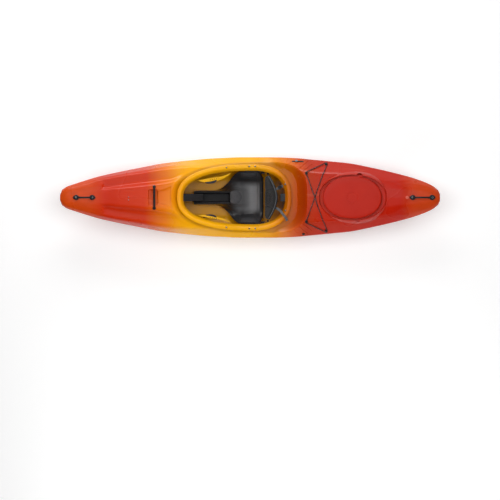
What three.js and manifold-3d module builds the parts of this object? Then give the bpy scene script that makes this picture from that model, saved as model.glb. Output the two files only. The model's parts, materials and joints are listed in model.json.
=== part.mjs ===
// A ten foot crossover river kayak: moulded hull with cockpit, outfitting, stern hatch and drop skeg.
// Millimetres, +Z up, bow towards -X and starboard towards +Y.
// The origin lies on the ground under the middle of the boat.
import * as THREE from "three";
import { mergeVertices } from "three/addons/utils/BufferGeometryUtils.js";
import Module from "manifold-3d";

const wasm = await Module();
wasm.setup();

// Driving dimensions of the hull
const hullLength = 3050;
const hullBeam = 650;
const hullDepth = 391; // ground to the top of the fore deck
const wall = 5; // moulded skin
const seatGap = 0.3; // between pieces that touch
const runGap = 0.8; // between pieces that slide or turn on each other
const overrun = 30; // how far a cutter passes what it cuts
const probe = 8; // half the distance over which a slope is read

// Cockpit: two half superellipses that meet where the opening is widest
const cockpitLength = hullLength * 0.2685;
const cockpitWidth = hullBeam * 0.6646;
const cockpitWidestShare = 0.505; // station of the widest point
const cockpitForeShare = 0.674; // part of its length that lies ahead of the widest point
const cockpitPower = 2.4;
const coamingRise = hullDepth * 0.0818; // lip above the sunken deck round it
const coamingReach = hullBeam * 0.0769; // inner edge to the lip's outer edge
const bowlFore = hullLength * 0.0311; // sunken deck round the cockpit, from the inner edge
const bowlSide = hullBeam * 0.1123;
const bowlAft = hullLength * 0.0584;
const bowlAftPower = 3.5;
const bowlForeSlopeShare = 0.07;
const bowlAftSlopeShare = 0.24;
const coamingBoss = { length: hullLength * 0.0315, width: hullBeam * 0.04, inset: hullBeam * 0.0308 };

// Stern hatch, deck bar, handles and drain
const hatch = {
  stationShare: 0.7695,
  heightShare: 0.86,
  tiltShare: 0.0295,
  length: hullLength * 0.1541,
  width: hullBeam * 0.5231,
  crown: 7,
  skirt: 17,
  plate: 6,
  skirtWall: 7,
  rimAlong: 30,
  rimAcross: 11,
  rimWall: 8,
  rimRise: 3,
  flare: 22,
  boss: 48,
  groove: 21,
  neckWall: 8,
  neckTop: 7,
  sealHeight: 2.6,
  badge: 46,
  badgeGroove: 3,
  notch: 26,
  notchShareX: 0.24,
};
const deckBar = {
  stationShare: 0.248,
  halfSpan: hullBeam * 0.1323,
  radius: 9,
  foot: 30,
  rise: 9,
  recess: hullLength * 0.0269,
  recessHalf: hullBeam * 0.1031,
  deep: hullDepth * 0.0844,
};
const handle = {
  width: 21,
  thick: 5,
  capLength: 44,
  capWidth: 45,
  capHeight: 10,
  bowRise: hullDepth * 0.0921,
  sternRise: hullDepth * 0.1023,
};
const bowHandleShares = [0.042, 0.0855];
const sternHandleShares = [0.9275, 0.98];
const drain = { stationShare: 0.9137, radius: 13, head: 7, stem: 8 };

// Bungee on the stern deck, and the buttons it runs round
const bungee = { diameter: 6.5, base: 12, baseHeight: 5, neck: 4.5, cap: 10, gap: 8.5, capHeight: 4 };
const bungeeShares = {
  // station and share of the half beam
  fore: [0.6484, 0.597],
  aft: [0.7005, 0.815],
};
const shoulderButton = { stationShare: 0.6408, breadthShare: 0.903, radius: 12, height: 6 };

// Skeg, its trunk and its control
const skeg = {
  thick: 8,
  pin: 4,
  trunkInside: 13,
  trunkWall: 4,
  trunkRoom: 7,
  slotFore: hullLength * 0.00787,
  slotAft: hullLength * 0.1134,
  dropDegrees: 7.07,
};
const skegPivotShares = [0.7948, 0.21]; // station, height as a share of the hull's depth
const skegChord = hullLength * 0.1072; // pivot to the trailing tip
const slider = { stationShare: 0.6258, knobShare: 0.6218, breadthShare: 0.889 };
const track = {
  length: 92,
  width: 13,
  thick: 4,
  slot: 5,
  slotEnd: 8,
  knob: 10.5,
  knobHeight: 9,
  deep: 5,
};
const tubeRadius = 3.5;

// Foam pillars and bulkhead
const pillar = {
  bowThick: hullBeam * 0.0923,
  sternThick: hullBeam * 0.0954,
  bowForeShare: 0.11,
  bowAftShare: 0.376,
  bowStepShare: 0.322,
};
const sternPillarShares = [0.58, 0.642];
const bulkheadShares = [0.6425, 0.656];

// Seat
const seat = {
  foreShare: 0.3526,
  aftShare: 0.534,
  width: hullBeam * 0.6431,
  height: hullDepth * 0.5524,
  skin: 4,
  channel: hullBeam * 0.0523,
  lip: 4,
  rail: hullBeam * 0.0754,
};
const seatTab = { length: hullLength * 0.04, rise: hullDepth * 0.0767 };
const ear = {
  length: hullLength * 0.0249,
  thick: 4,
  low: hullDepth * 0.3785,
  high: hullDepth * 0.578,
  breadth: seat.width / 2 - seat.skin * 0.75,
};
const hipPad = { thick: 20 };

// Thigh braces and their pads
const brace = {
  foreShare: 0.3605,
  aftShare: 0.4526,
  skin: 5,
  outboard: hullBeam * 0.0708,
  curl: hullDepth * 0.0512,
  port: hullBeam * 0.0585,
  starboard: hullBeam * 0.0954,
};
const bracePad = {
  halfLength: hullLength * 0.01836,
  halfWidth: hullBeam * 0.0523,
  thick: hullDepth * 0.0435,
  stationShare: 0.3947,
};

// Backband
const band = {
  halfWidth: seat.width * 0.4019,
  foot: hullDepth * 0.3836,
  top: hullDepth * 0.7749,
  endDrop: hullDepth * 0.1586,
  skin: 4,
  pad: 22,
  lean: hullLength * 0.0282,
  foreShare: 0.5375,
};
const ladder = { width: 14, thick: 2.4, length: 44, height: hullDepth * 0.4246 };
const ratchet = { length: 32, width: 22, wall: 3, depth: 13, lever: 26, leverThick: 3, pin: 2, eye: 4 };
const webbing = { width: 19, thick: 2 };

// Foot rests
const footRail = {
  foreShare: 0.1203,
  aftShare: 0.2618,
  foreHeightShare: 0.59,
  aftHeightShare: 0.473,
  width: 20,
  thick: 10,
};
const footPeg = {
  width: 76,
  height: 92,
  drop: 12,
  thick: 8,
  stationShare: 0.2,
  trigger: 38,
  triggerWidth: 12,
  ear: 3,
  pin: 2,
};

// Fasteners, and the bolts through the coaming
const bolt = { head: 8, headHeight: 4, shank: 3, down: 12 };
const seatBoltShares = [0.498, 0.514];
const braceBoltShare = 0.438;
const bandBoltShare = 0.593;
const bandBoltBreadth = hullBeam * 0.1631;
const sideBoltReachShare = 0.66; // of the coaming's reach, out from the opening's edge
const bossShare = 0.75; // of the coaming's rise

const halfBeam = hullBeam / 2;
const vec = (x, y, z) => new THREE.Vector3(x, y, z);
const lerp = THREE.MathUtils.lerp;
const smoothstep = THREE.MathUtils.smoothstep;
const station = (share) => (share - 0.5) * hullLength;
const inHull = ([along, across, up]) => vec(station(along), across * halfBeam, up * hullDepth);

// Solids by way of manifold-3d
function solidFrom(positions, triangles) {
  const made = new wasm.Manifold(
    new wasm.Mesh({
      numProp: 3,
      vertProperties: new Float32Array(positions.flatMap((p) => [p.x, p.y, p.z])),
      triVerts: new Uint32Array(triangles.flat()),
    }),
  );
  if (made.volume() > 0) return made;
  return solidFrom(positions, triangles.map(([a, b, c]) => [a, c, b]));
}

function solidOf(geometry, matrix) {
  const bare = new THREE.BufferGeometry();
  const loose = geometry.index ? geometry.toNonIndexed() : geometry;
  bare.setAttribute("position", loose.getAttribute("position").clone());
  if (matrix) bare.applyMatrix4(matrix);
  const merged = mergeVertices(bare, 1e-4);
  return new wasm.Manifold(
    new wasm.Mesh({
      numProp: 3,
      vertProperties: merged.attributes.position.array,
      triVerts: new Uint32Array(merged.index.array),
    }),
  );
}

function geometryOf(solid) {
  const mesh = solid.getMesh();
  const points = new Float32Array(mesh.numVert * 3);
  for (let i = 0; i < mesh.numVert; i++) {
    points.set(mesh.vertProperties.subarray(i * mesh.numProp, i * mesh.numProp + 3), i * 3);
  }
  const geometry = new THREE.BufferGeometry();
  geometry.setAttribute("position", new THREE.BufferAttribute(points, 3));
  geometry.setIndex(new THREE.BufferAttribute(mesh.triVerts, 1));
  geometry.computeVertexNormals();
  return geometry;
}

const joined = (first, ...rest) => rest.reduce((all, next) => all.add(next), first);
const cut = (first, ...rest) => rest.reduce((all, next) => all.subtract(next), first);
const shared = (first, ...rest) => rest.reduce((all, next) => all.intersect(next), first);

// A closed loft through rings that hold the same number of points
function loft(rings) {
  const count = rings[0].length;
  const positions = rings.flat();
  const triangles = [];
  for (let i = 0; i + 1 < rings.length; i++) {
    for (let j = 0; j < count; j++) {
      const a = i * count + j;
      const b = i * count + ((j + 1) % count);
      triangles.push([a, b, b + count], [a, b + count, a + count]);
    }
  }
  for (const [ring, flip] of [[0, true], [rings.length - 1, false]]) {
    const centre = positions.length;
    const sum = rings[ring].reduce((all, p) => all.add(p), vec(0, 0, 0));
    positions.push(sum.divideScalar(count));
    for (let j = 0; j < count; j++) {
      const a = ring * count + j;
      const b = ring * count + ((j + 1) % count);
      triangles.push(flip ? [b, a, centre] : [a, b, centre]);
    }
  }
  return solidFrom(positions, triangles);
}

// A ring of sections that closes on itself, such as a rim or a cord that runs in a loop
function closedSweep(rings) {
  const count = rings[0].length;
  const triangles = [];
  rings.forEach((ring, i) => {
    const next = ((i + 1) % rings.length) * count;
    ring.forEach((point, j) => {
      const k = (j + 1) % count;
      triangles.push([i * count + j, i * count + k, next + k], [i * count + j, next + k, next + j]);
    });
  });
  return solidFrom(rings.flat(), triangles);
}

// A sheet of points made into a shell between two offsets along its normal, plain or as a function of the place
function shellOf(grid, from, to) {
  const rows = grid.length;
  const columns = grid[0].length;
  const at = (i, j) => grid[Math.min(Math.max(i, 0), rows - 1)][Math.min(Math.max(j, 0), columns - 1)];
  const face = (offset) =>
    grid.flatMap((row, i) =>
      row.map((point, j) => {
        const along = at(i + 1, j).clone().sub(at(i - 1, j));
        const across = at(i, j + 1).clone().sub(at(i, j - 1));
        const reach = typeof offset === "function" ? offset(i / (rows - 1), j / (columns - 1)) : offset;
        return point.clone().addScaledVector(along.cross(across).normalize(), reach);
      }),
    );
  const size = rows * columns;
  const triangles = [];
  for (let i = 0; i + 1 < rows; i++) {
    for (let j = 0; j + 1 < columns; j++) {
      const a = i * columns + j;
      const b = a + columns;
      triangles.push([a, b + 1, b], [a, a + 1, b + 1]);
      triangles.push([a + size, b + size, b + 1 + size], [a + size, b + 1 + size, a + 1 + size]);
    }
  }
  const border = [];
  for (let j = 0; j + 1 < columns; j++) border.push(j);
  for (let i = 0; i + 1 < rows; i++) border.push(i * columns + columns - 1);
  for (let j = columns - 1; j > 0; j--) border.push((rows - 1) * columns + j);
  for (let i = rows - 1; i > 0; i--) border.push(i * columns);
  border.forEach((a, i) => {
    const b = border[(i + 1) % border.length];
    triangles.push([a, b + size, b], [a, a + size, b + size]);
  });
  return solidFrom([...face(from), ...face(to)], triangles);
}

// Simple solids, each placed by a matrix from its own frame to the boat's
const moved = (x, y, z) => new THREE.Matrix4().makeTranslation(x, y, z);
const within = (matrix, x, y, z) => matrix.clone().multiply(moved(x, y, z));
const boxAt = (sx, sy, sz, matrix) => solidOf(new THREE.BoxGeometry(sx, sy, sz), matrix);
const quarterTurn = new THREE.Matrix4().makeRotationX(Math.PI / 2);
function rod(radius, from, to, sides = 8) {
  const turn = new THREE.Quaternion().setFromUnitVectors(vec(0, 1, 0), to.clone().sub(from).normalize());
  const middle = from.clone().add(to).multiplyScalar(0.5);
  const place = new THREE.Matrix4().compose(middle, turn, vec(1, 1, 1));
  return solidOf(new THREE.CylinderGeometry(radius, radius, from.distanceTo(to), sides), place);
}

// A turned solid about the local Z axis, from a profile of radius and height that starts and ends on the axis
function turned(profile, sides, matrix) {
  const geometry = new THREE.LatheGeometry(profile.map(([r, z]) => new THREE.Vector2(r, z)), sides);
  return solidOf(geometry, matrix.clone().multiply(quarterTurn));
}

// A flat outline in X and Z, made solid across the boat from y - width / 2 to y + width / 2
function plateXZ(outline, y, width) {
  const shape = new THREE.Shape(outline.map(([x, z]) => new THREE.Vector2(x, z)));
  const geometry = new THREE.ExtrudeGeometry(shape, { depth: width, bevelEnabled: false });
  return solidOf(geometry, new THREE.Matrix4().makeTranslation(0, y + width / 2, 0).multiply(quarterTurn));
}

// An outline moved outwards by a distance, corner by corner; it runs anticlockwise
function grown(outline, distance) {
  return outline.map(([x, z], i) => {
    const [px, pz] = outline[(i + outline.length - 1) % outline.length];
    const [nx, nz] = outline[(i + 1) % outline.length];
    const a = new THREE.Vector2(z - pz, px - x).normalize();
    const b = new THREE.Vector2(nz - z, x - nx).normalize();
    const mitre = a.clone().add(b).normalize();
    const reach = distance / Math.max(mitre.dot(a), 0.5);
    return [x + mitre.x * reach, z + mitre.y * reach];
  });
}

// An upright prism over a closed plan of [x, y] points
function prism(plan, bottom, top, matrix) {
  const shape = new THREE.Shape(plan.map(([x, y]) => new THREE.Vector2(x, y)));
  const geometry = new THREE.ExtrudeGeometry(shape, { depth: top - bottom, bevelEnabled: false });
  const lift = new THREE.Matrix4().makeTranslation(0, 0, bottom);
  return solidOf(geometry, matrix ? matrix.clone().multiply(lift) : lift);
}

const oval = (halfX, halfY, steps, power = 2) =>
  Array.from({ length: steps }, (_, i) => {
    const angle = (i / steps) * Math.PI * 2;
    const x = Math.sign(Math.cos(angle)) * Math.abs(Math.cos(angle)) ** (2 / power);
    const y = Math.sign(Math.sin(angle)) * Math.abs(Math.sin(angle)) ** (2 / power);
    return [x * halfX, y * halfY];
  });

// A monotone cubic through a table's points, as a function
function monotone(xs, ys) {
  const slopes = xs.slice(1).map((x, i) => (ys[i + 1] - ys[i]) / (x - xs[i]));
  const tangents = xs.map((_, i) => {
    if (i === 0) return slopes[0];
    if (i === xs.length - 1) return slopes[slopes.length - 1];
    const [a, b] = [slopes[i - 1], slopes[i]];
    return a * b <= 0 ? 0 : (2 * a * b) / (a + b);
  });
  return (x) => {
    const clamped = Math.min(Math.max(x, xs[0]), xs[xs.length - 1]);
    let i = xs.findIndex((value) => value > clamped) - 1;
    if (i < 0) i = xs.length - 2;
    const step = xs[i + 1] - xs[i];
    const t = (clamped - xs[i]) / step;
    const rise = (3 - 2 * t) * t * t;
    const start = t * (1 - t) ** 2 * step * tangents[i];
    const end = t * t * (t - 1) * step * tangents[i + 1];
    return ys[i] * (1 - rise) + ys[i + 1] * rise + start + end;
  };
}

// The table of offsets. Heights are shares of the hull's depth and breadths are shares of the half beam.
const offsetShares = [
  // station, keel, vee, chine y z, sheer y z, ridge y z, scoop y z, plateau y z, crest
  [0.0, 0.762, 0.3, 0.043, 0.78, 0.068, 0.811, 0.055, 0.839, 0.04, 0.846, 0.022, 0.852, 0.854],
  [0.005, 0.719, 0.3, 0.117, 0.757, 0.191, 0.808, 0.154, 0.852, 0.111, 0.864, 0.062, 0.872, 0.875],
  [0.016, 0.621, 0.3, 0.178, 0.716, 0.265, 0.798, 0.215, 0.857, 0.154, 0.877, 0.086, 0.887, 0.893],
  [0.04, 0.504, 0.28, 0.252, 0.65, 0.345, 0.777, 0.283, 0.852, 0.203, 0.882, 0.111, 0.898, 0.903],
  [0.079, 0.379, 0.26, 0.363, 0.583, 0.462, 0.739, 0.382, 0.852, 0.271, 0.885, 0.154, 0.9, 0.905],
  [0.1, 0.309, 0.25, 0.418, 0.56, 0.52, 0.716, 0.434, 0.854, 0.308, 0.885, 0.172, 0.908, 0.91],
  [0.116, 0.274, 0.24, 0.455, 0.547, 0.557, 0.691, 0.468, 0.857, 0.258, 0.859, 0.185, 0.916, 0.921],
  [0.158, 0.199, 0.22, 0.538, 0.46, 0.643, 0.642, 0.548, 0.862, 0.302, 0.864, 0.222, 0.954, 0.962],
  [0.224, 0.115, 0.18, 0.652, 0.327, 0.766, 0.586, 0.652, 0.864, 0.369, 0.87, 0.289, 0.99, 0.997],
  [0.263, 0.079, 0.15, 0.72, 0.286, 0.837, 0.555, 0.714, 0.864, 0.412, 0.875, 0.326, 0.992, 1.0],
  [0.295, 0.054, 0.13, 0.766, 0.251, 0.877, 0.537, 0.748, 0.862, 0.462, 0.885, 0.369, 0.977, 0.987],
  [0.321, 0.038, 0.1, 0.8, 0.23, 0.905, 0.527, 0.763, 0.847, 0.585, 0.875, 0.431, 0.936, 0.967],
  [0.355, 0.023, 0.06, 0.831, 0.21, 0.935, 0.522, 0.769, 0.798, 0.662, 0.824, 0.462, 0.844, 0.854],
  [0.395, 0.01, 0.03, 0.855, 0.189, 0.969, 0.519, 0.757, 0.76, 0.692, 0.767, 0.462, 0.798, 0.808],
  [0.434, 0.0, 0.0, 0.877, 0.171, 0.985, 0.519, 0.806, 0.685, 0.738, 0.701, 0.462, 0.721, 0.726],
  [0.474, 0.0, 0.0, 0.892, 0.159, 1.0, 0.519, 0.858, 0.645, 0.8, 0.652, 0.462, 0.66, 0.66],
  [0.513, 0.0, 0.0, 0.892, 0.159, 1.0, 0.519, 0.868, 0.629, 0.812, 0.634, 0.462, 0.639, 0.639],
  [0.547, 0.0, 0.0, 0.889, 0.169, 1.0, 0.522, 0.852, 0.606, 0.806, 0.609, 0.462, 0.627, 0.627],
  [0.579, 0.003, 0.02, 0.883, 0.189, 0.997, 0.524, 0.849, 0.66, 0.775, 0.68, 0.462, 0.729, 0.742],
  [0.605, 0.008, 0.04, 0.874, 0.21, 0.988, 0.529, 0.806, 0.711, 0.723, 0.737, 0.462, 0.78, 0.793],
  [0.632, 0.015, 0.06, 0.858, 0.235, 0.975, 0.537, 0.692, 0.775, 0.585, 0.798, 0.369, 0.818, 0.829],
  [0.653, 0.028, 0.08, 0.84, 0.261, 0.954, 0.542, 0.64, 0.803, 0.523, 0.818, 0.338, 0.836, 0.847],
  [0.679, 0.046, 0.1, 0.815, 0.299, 0.932, 0.55, 0.615, 0.816, 0.492, 0.829, 0.308, 0.847, 0.857],
  [0.711, 0.074, 0.13, 0.788, 0.343, 0.902, 0.56, 0.6, 0.816, 0.462, 0.829, 0.295, 0.841, 0.847],
  [0.763, 0.128, 0.17, 0.732, 0.389, 0.852, 0.581, 0.575, 0.816, 0.431, 0.832, 0.277, 0.846, 0.852],
  [0.816, 0.199, 0.2, 0.646, 0.445, 0.754, 0.601, 0.5, 0.818, 0.385, 0.838, 0.246, 0.856, 0.863],
  [0.868, 0.289, 0.23, 0.554, 0.527, 0.643, 0.629, 0.425, 0.813, 0.332, 0.839, 0.215, 0.864, 0.876],
  [0.911, 0.373, 0.25, 0.468, 0.604, 0.538, 0.657, 0.375, 0.808, 0.295, 0.839, 0.185, 0.87, 0.883],
  [0.937, 0.43, 0.26, 0.406, 0.645, 0.462, 0.68, 0.345, 0.795, 0.271, 0.831, 0.172, 0.859, 0.873],
  [0.966, 0.506, 0.28, 0.314, 0.678, 0.36, 0.708, 0.277, 0.78, 0.215, 0.813, 0.142, 0.839, 0.852],
  [0.984, 0.575, 0.3, 0.234, 0.701, 0.271, 0.726, 0.209, 0.777, 0.16, 0.803, 0.105, 0.824, 0.834],
  [0.995, 0.665, 0.3, 0.154, 0.716, 0.185, 0.742, 0.148, 0.777, 0.111, 0.798, 0.074, 0.811, 0.818],
  [1.0, 0.726, 0.3, 0.062, 0.742, 0.08, 0.76, 0.062, 0.775, 0.043, 0.783, 0.025, 0.788, 0.79],
];
const columnNames = ["keel", "vee", "chineY", "chineZ", "sheerY", "sheerZ", "ridgeY", "ridgeZ"];
columnNames.push("scoopY", "scoopZ", "plateauY", "plateauZ", "crest");
const stationShares = offsetShares.map((row) => row[0]);
const offsetCurves = Object.fromEntries(
  columnNames.map((name, i) => [name, monotone(stationShares, offsetShares.map((row) => row[i + 1]))]),
);
const floorShare = 0.5; // the bottom's flat ends at this share of the chine's breadth

// Corners of half a section from the crest round to the keel: breadth, height, rounding share, points
function sectionCorners(share) {
  const row = Object.fromEntries(columnNames.map((name) => [name, offsetCurves[name](share)]));
  const floorZ = lerp(row.keel, row.chineZ, row.vee);
  return [
    [0, row.crest, 0, 0],
    [row.plateauY, row.plateauZ, 0.2, 1],
    [row.scoopY, row.scoopZ, 0.2, 1],
    [row.ridgeY, row.ridgeZ, 0.3, 3],
    [row.sheerY, row.sheerZ, 0.05, 2],
    [row.chineY, row.chineZ, 0.38, 3],
    [row.chineY * floorShare, floorZ, 0, 1],
    [0, row.keel, 0, 0],
  ].map(([y, z, round, points]) => ({ y: y * halfBeam, z: z * hullDepth, round, points }));
}

// The half section with its corners rounded by quadratic curves
function halfSection(share, mostPoints = 3) {
  const corners = sectionCorners(share);
  return corners.flatMap((corner, i) => {
    if (!corner.points) return [[corner.y, corner.z]];
    const points = Math.min(corner.points, mostPoints);
    const [before, after] = [corners[i - 1], corners[i + 1]];
    return Array.from({ length: points }, (_, k) => {
      const t = points > 1 ? k / (points - 1) : 0.5;
      const blend = (key) => {
        const start = lerp(corner[key], before[key], corner.round);
        const end = lerp(corner[key], after[key], corner.round);
        return start * (1 - t) ** 2 + 2 * corner[key] * t * (1 - t) + end * t * t;
      };
      return [blend("y"), blend("z")];
    });
  });
}

const cockpitX = station(cockpitWidestShare);
const cockpitFore = cockpitLength * cockpitForeShare;
const cockpitAft = cockpitLength - cockpitFore;
const rimShares = [
  // station, height of the lip's top as a share of the hull's depth
  [0.29, 1.0],
  [0.31, 0.992],
  [0.342, 0.951],
  [0.395, 0.885],
  [0.434, 0.811],
  [0.461, 0.757],
  [0.487, 0.729],
  [0.513, 0.711],
  [0.547, 0.685],
  [0.579, 0.678],
  [0.611, 0.685],
];
const rimCurve = monotone(
  rimShares.map((row) => row[0]),
  rimShares.map((row) => row[1]),
);
const rimTop = (x) => rimCurve(x / hullLength + 0.5) * hullDepth;
const bowlFloor = (x) => rimTop(x) - coamingRise;

// How far out a plan point lies, as a share of the way to the outline: under 1 is inside
function planShare(x, y, fore, aft, side, forePower, aftPower) {
  const ahead = x < cockpitX;
  const power = ahead ? forePower : aftPower;
  const along = Math.abs(x - cockpitX) / (ahead ? fore : aft);
  return (along ** power + (Math.abs(y) / side) ** power) ** (1 / power);
}

// How much of the cockpit's sunken deck a plan point has, from 0 to 1
function bowlDepthShare(x, y) {
  const side = cockpitWidth / 2 + bowlSide;
  const out = planShare(x, y, cockpitFore + bowlFore, cockpitAft + bowlAft, side, cockpitPower, bowlAftPower);
  const aftward = Math.max(0, (x - cockpitX) / (cockpitAft + bowlAft));
  const slope = lerp(bowlForeSlopeShare, bowlAftSlopeShare, Math.min(1, aftward));
  return 1 - smoothstep(out, 1 - slope, 1);
}

function withBowl(x, y, z) {
  const floor = bowlFloor(x);
  return z > floor ? lerp(z, floor, bowlDepthShare(x, y)) : z;
}

// The whole section as a ring, moved inwards by inset
function sectionRing(share, inset, mostPoints) {
  const half = halfSection(share, mostPoints);
  const mirrored = half.slice(1, -1).reverse().map(([y, z]) => [-y, z]);
  const ring = [...half, ...mirrored];
  return ring.map(([y, z], i) => {
    const [py, pz] = ring[(i + ring.length - 1) % ring.length];
    const [ny, nz] = ring[(i + 1) % ring.length];
    const a = new THREE.Vector2(pz - z, y - py).normalize();
    const b = new THREE.Vector2(z - nz, ny - y).normalize();
    const mitre = a.clone().add(b).normalize();
    const reach = inset / Math.max(mitre.dot(a), 0.7);
    return vec(station(share), y - mitre.x * reach, z - mitre.y * reach);
  });
}

const widestStep = 0.045; // share of the length that one step of the outside may cover
const outerStations = stationShares.flatMap((share, i) => {
  const next = stationShares[i + 1];
  return next - share > widestStep ? [share, (share + next) / 2] : [share];
});
const hullSolid = (shares, inset, points) => loft(shares.map((share) => sectionRing(share, inset, points)));

// Heights of the deck and breadths of the side, read off the same sections
function bareDeck(x, y) {
  const half = halfSection(x / hullLength + 0.5);
  const reach = Math.abs(y);
  const i = half.findIndex(([breadth]) => breadth > reach);
  const [[ay, az], [by, bz]] = [half[i - 1], half[i]];
  return lerp(az, bz, (reach - ay) / (by - ay));
}
const deckHeight = (x, y) => withBowl(x, y, bareDeck(x, y));
function sideBreadth(x, z) {
  const half = halfSection(x / hullLength + 0.5);
  const i = half.findLastIndex(([, height]) => height > z);
  const [[ay, az], [by, bz]] = [half[i], half[i + 1]];
  return lerp(ay, by, (z - az) / (bz - az));
}
function deckFrame(x, y) {
  const along = vec(2 * probe, 0, deckHeight(x + probe, y) - deckHeight(x - probe, y)).normalize();
  const across = vec(0, 2 * probe, deckHeight(x, y + probe) - deckHeight(x, y - probe)).normalize();
  const up = along.clone().cross(across).normalize();
  const side = up.clone().cross(along).normalize();
  const matrix = new THREE.Matrix4().makeBasis(along, side, up);
  return matrix.setPosition(x, y, deckHeight(x, y));
}

// The sides: a frame with its axes along the hull, up the side and outwards
function sideFrame(x, z, side) {
  const point = (px, pz) => vec(px, side * sideBreadth(px, pz), pz);
  const along = point(x + probe, z).sub(point(x - probe, z)).normalize();
  const up = point(x, z + probe).sub(point(x, z - probe)).normalize();
  const out = up.clone().cross(along).normalize().multiplyScalar(side);
  return { origin: point(x, z), along, up, out };
}

// A solid over the cockpit's sunken deck. Drop is how far its floor lies under the deck's outer face.
const cockpitSteps = 36;
const cockpitAngles = Array.from({ length: cockpitSteps }, (_, i) => ((i + 0.5) / cockpitSteps) * Math.PI * 2);
function planPoint(angle, fore, aft, side, forePower, aftPower) {
  const ahead = Math.cos(angle) < 0;
  const power = 2 / (ahead ? forePower : aftPower);
  const along = Math.sign(Math.cos(angle)) * Math.abs(Math.cos(angle)) ** power;
  const across = Math.sign(Math.sin(angle)) * Math.abs(Math.sin(angle)) ** power;
  return [cockpitX + along * (ahead ? fore : aft), across * side];
}
const rimPoint = (angle, out) =>
  planPoint(angle, cockpitFore + out, cockpitAft + out, cockpitWidth / 2 + out, cockpitPower, cockpitPower);

function bowlSolid(drop) {
  const side = cockpitWidth / 2 + bowlSide + drop;
  const edge = (angle, scale) => {
    const fore = (cockpitFore + bowlFore + drop) * scale;
    const aft = (cockpitAft + bowlAft + drop) * scale;
    return planPoint(angle, fore, aft, side * scale, cockpitPower, bowlAftPower);
  };
  const ring = (scaleOf, heightOf) =>
    cockpitAngles.map((angle) => {
      const [x, y] = edge(angle, scaleOf(angle));
      return vec(x, y, heightOf(x, y));
    });
  const foot = (angle) => 1 - lerp(bowlForeSlopeShare, bowlAftSlopeShare, Math.max(0, Math.cos(angle)));
  return loft([
    ring((angle) => foot(angle) / 2, (x) => bowlFloor(x) - drop),
    ring(foot, (x) => bowlFloor(x) - drop),
    ring(() => 1, (x, y) => Math.max(bareDeck(x, y), bowlFloor(x)) - drop),
    ring(() => 1, () => hullDepth + overrun),
  ]);
}

const outerHull = hullSolid(outerStations, 0);
const clearOfHull = cut(hullSolid(outerStations, -seatGap), bowlSolid(-seatGap)); // for what sits on the hull
const innerStations = stationShares.slice(2, -2); // the ends are moulded solid
const cavity = cut(hullSolid(innerStations, wall, 2), bowlSolid(wall));

// Colours and finishes
const plastic = (color, roughness) => new THREE.MeshStandardMaterial({ color, roughness, metalness: 0 });
const finish = {
  hull: plastic(0xd2480f, 0.32),
  hatch: plastic(0xb51c02, 0.45),
  brace: plastic(0xe2a106, 0.4),
  black: plastic(0x1c1e20, 0.5),
  foam: plastic(0x26282a, 0.9),
  seat: plastic(0x2c2d2f, 0.42),
  cloth: plastic(0x303133, 0.85),
  strap: plastic(0x55595e, 0.7),
  cord: plastic(0x1d1e20, 0.75),
  plug: plastic(0xe08a78, 0.5),
  steel: new THREE.MeshStandardMaterial({ color: 0xb9bcc0, roughness: 0.3, metalness: 1 }),
};

const kayak = new THREE.Group();
kayak.name = "kayak";

// The main body of a solid, without slivers that a cut leaves
function largest(solid) {
  const bodies = solid.decompose();
  return bodies.reduce((best, next) => (next.volume() > best.volume() ? next : best));
}

function add(name, solid, material) {
  const mesh = new THREE.Mesh(geometryOf(largest(solid)), material);
  mesh.name = name;
  kayak.add(mesh);
}
const sides = [
  ["port", -1],
  ["starboard", 1],
];
// The coaming: a lip round the opening, moulded in one with the deck
const coamingShares = [
  // out from the opening's edge as a share of the reach, up from the deck as a share of the rise
  [0.5, -0.28],
  [0.6, 0.74],
  [0.92, 0.68],
  [1, 0.78],
  [0.88, 0.94],
  [0.54, 1],
  [0.34, 0.78],
  [0.02, 0.1],
  [0, -0.28],
];
function coamingSolid(grow) {
  const profile = grown(
    coamingShares.map(([out, up]) => [out * coamingReach, up * coamingRise]),
    grow,
  );
  return closedSweep(
    cockpitAngles.map((angle) =>
      profile.map(([out, up]) => {
        const [x, y] = rimPoint(angle, out);
        return vec(x, y, bowlFloor(x) + up);
      }),
    ),
  );
}

// Breadth of the opening's edge, and the bolts through the coaming out from it
const edgeBreadth = (x) => {
  const reach = x < cockpitX ? cockpitFore : cockpitAft;
  const along = Math.min(1, Math.abs(x - cockpitX) / reach);
  return (cockpitWidth / 2) * (1 - along ** cockpitPower) ** (1 / cockpitPower);
};
const boltBreadth = (share) => edgeBreadth(station(share)) + sideBoltReachShare * coamingReach;
function coamingBosses() {
  const height = coamingRise * bossShare + wall / 2;
  return [seatBoltShares, [braceBoltShare]].flatMap((shares) =>
    sides.map(([, side]) => {
      const middle = station(shares.reduce((sum, share) => sum + share, 0) / shares.length);
      const length = coamingBoss.length - (shares.length === 1 ? coamingBoss.length / 2 : 0);
      const y = side * (edgeBreadth(middle) + coamingBoss.inset + coamingBoss.width / 2);
      const rise = bowlFloor(middle + probe) - bowlFloor(middle - probe);
      const slope = new THREE.Matrix4().makeRotationY(-Math.atan2(rise, 2 * probe));
      const place = moved(middle, y, bowlFloor(middle) + coamingRise * bossShare - height / 2);
      return boxAt(length, coamingBoss.width, height, place.multiply(slope));
    }),
  );
}

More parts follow.
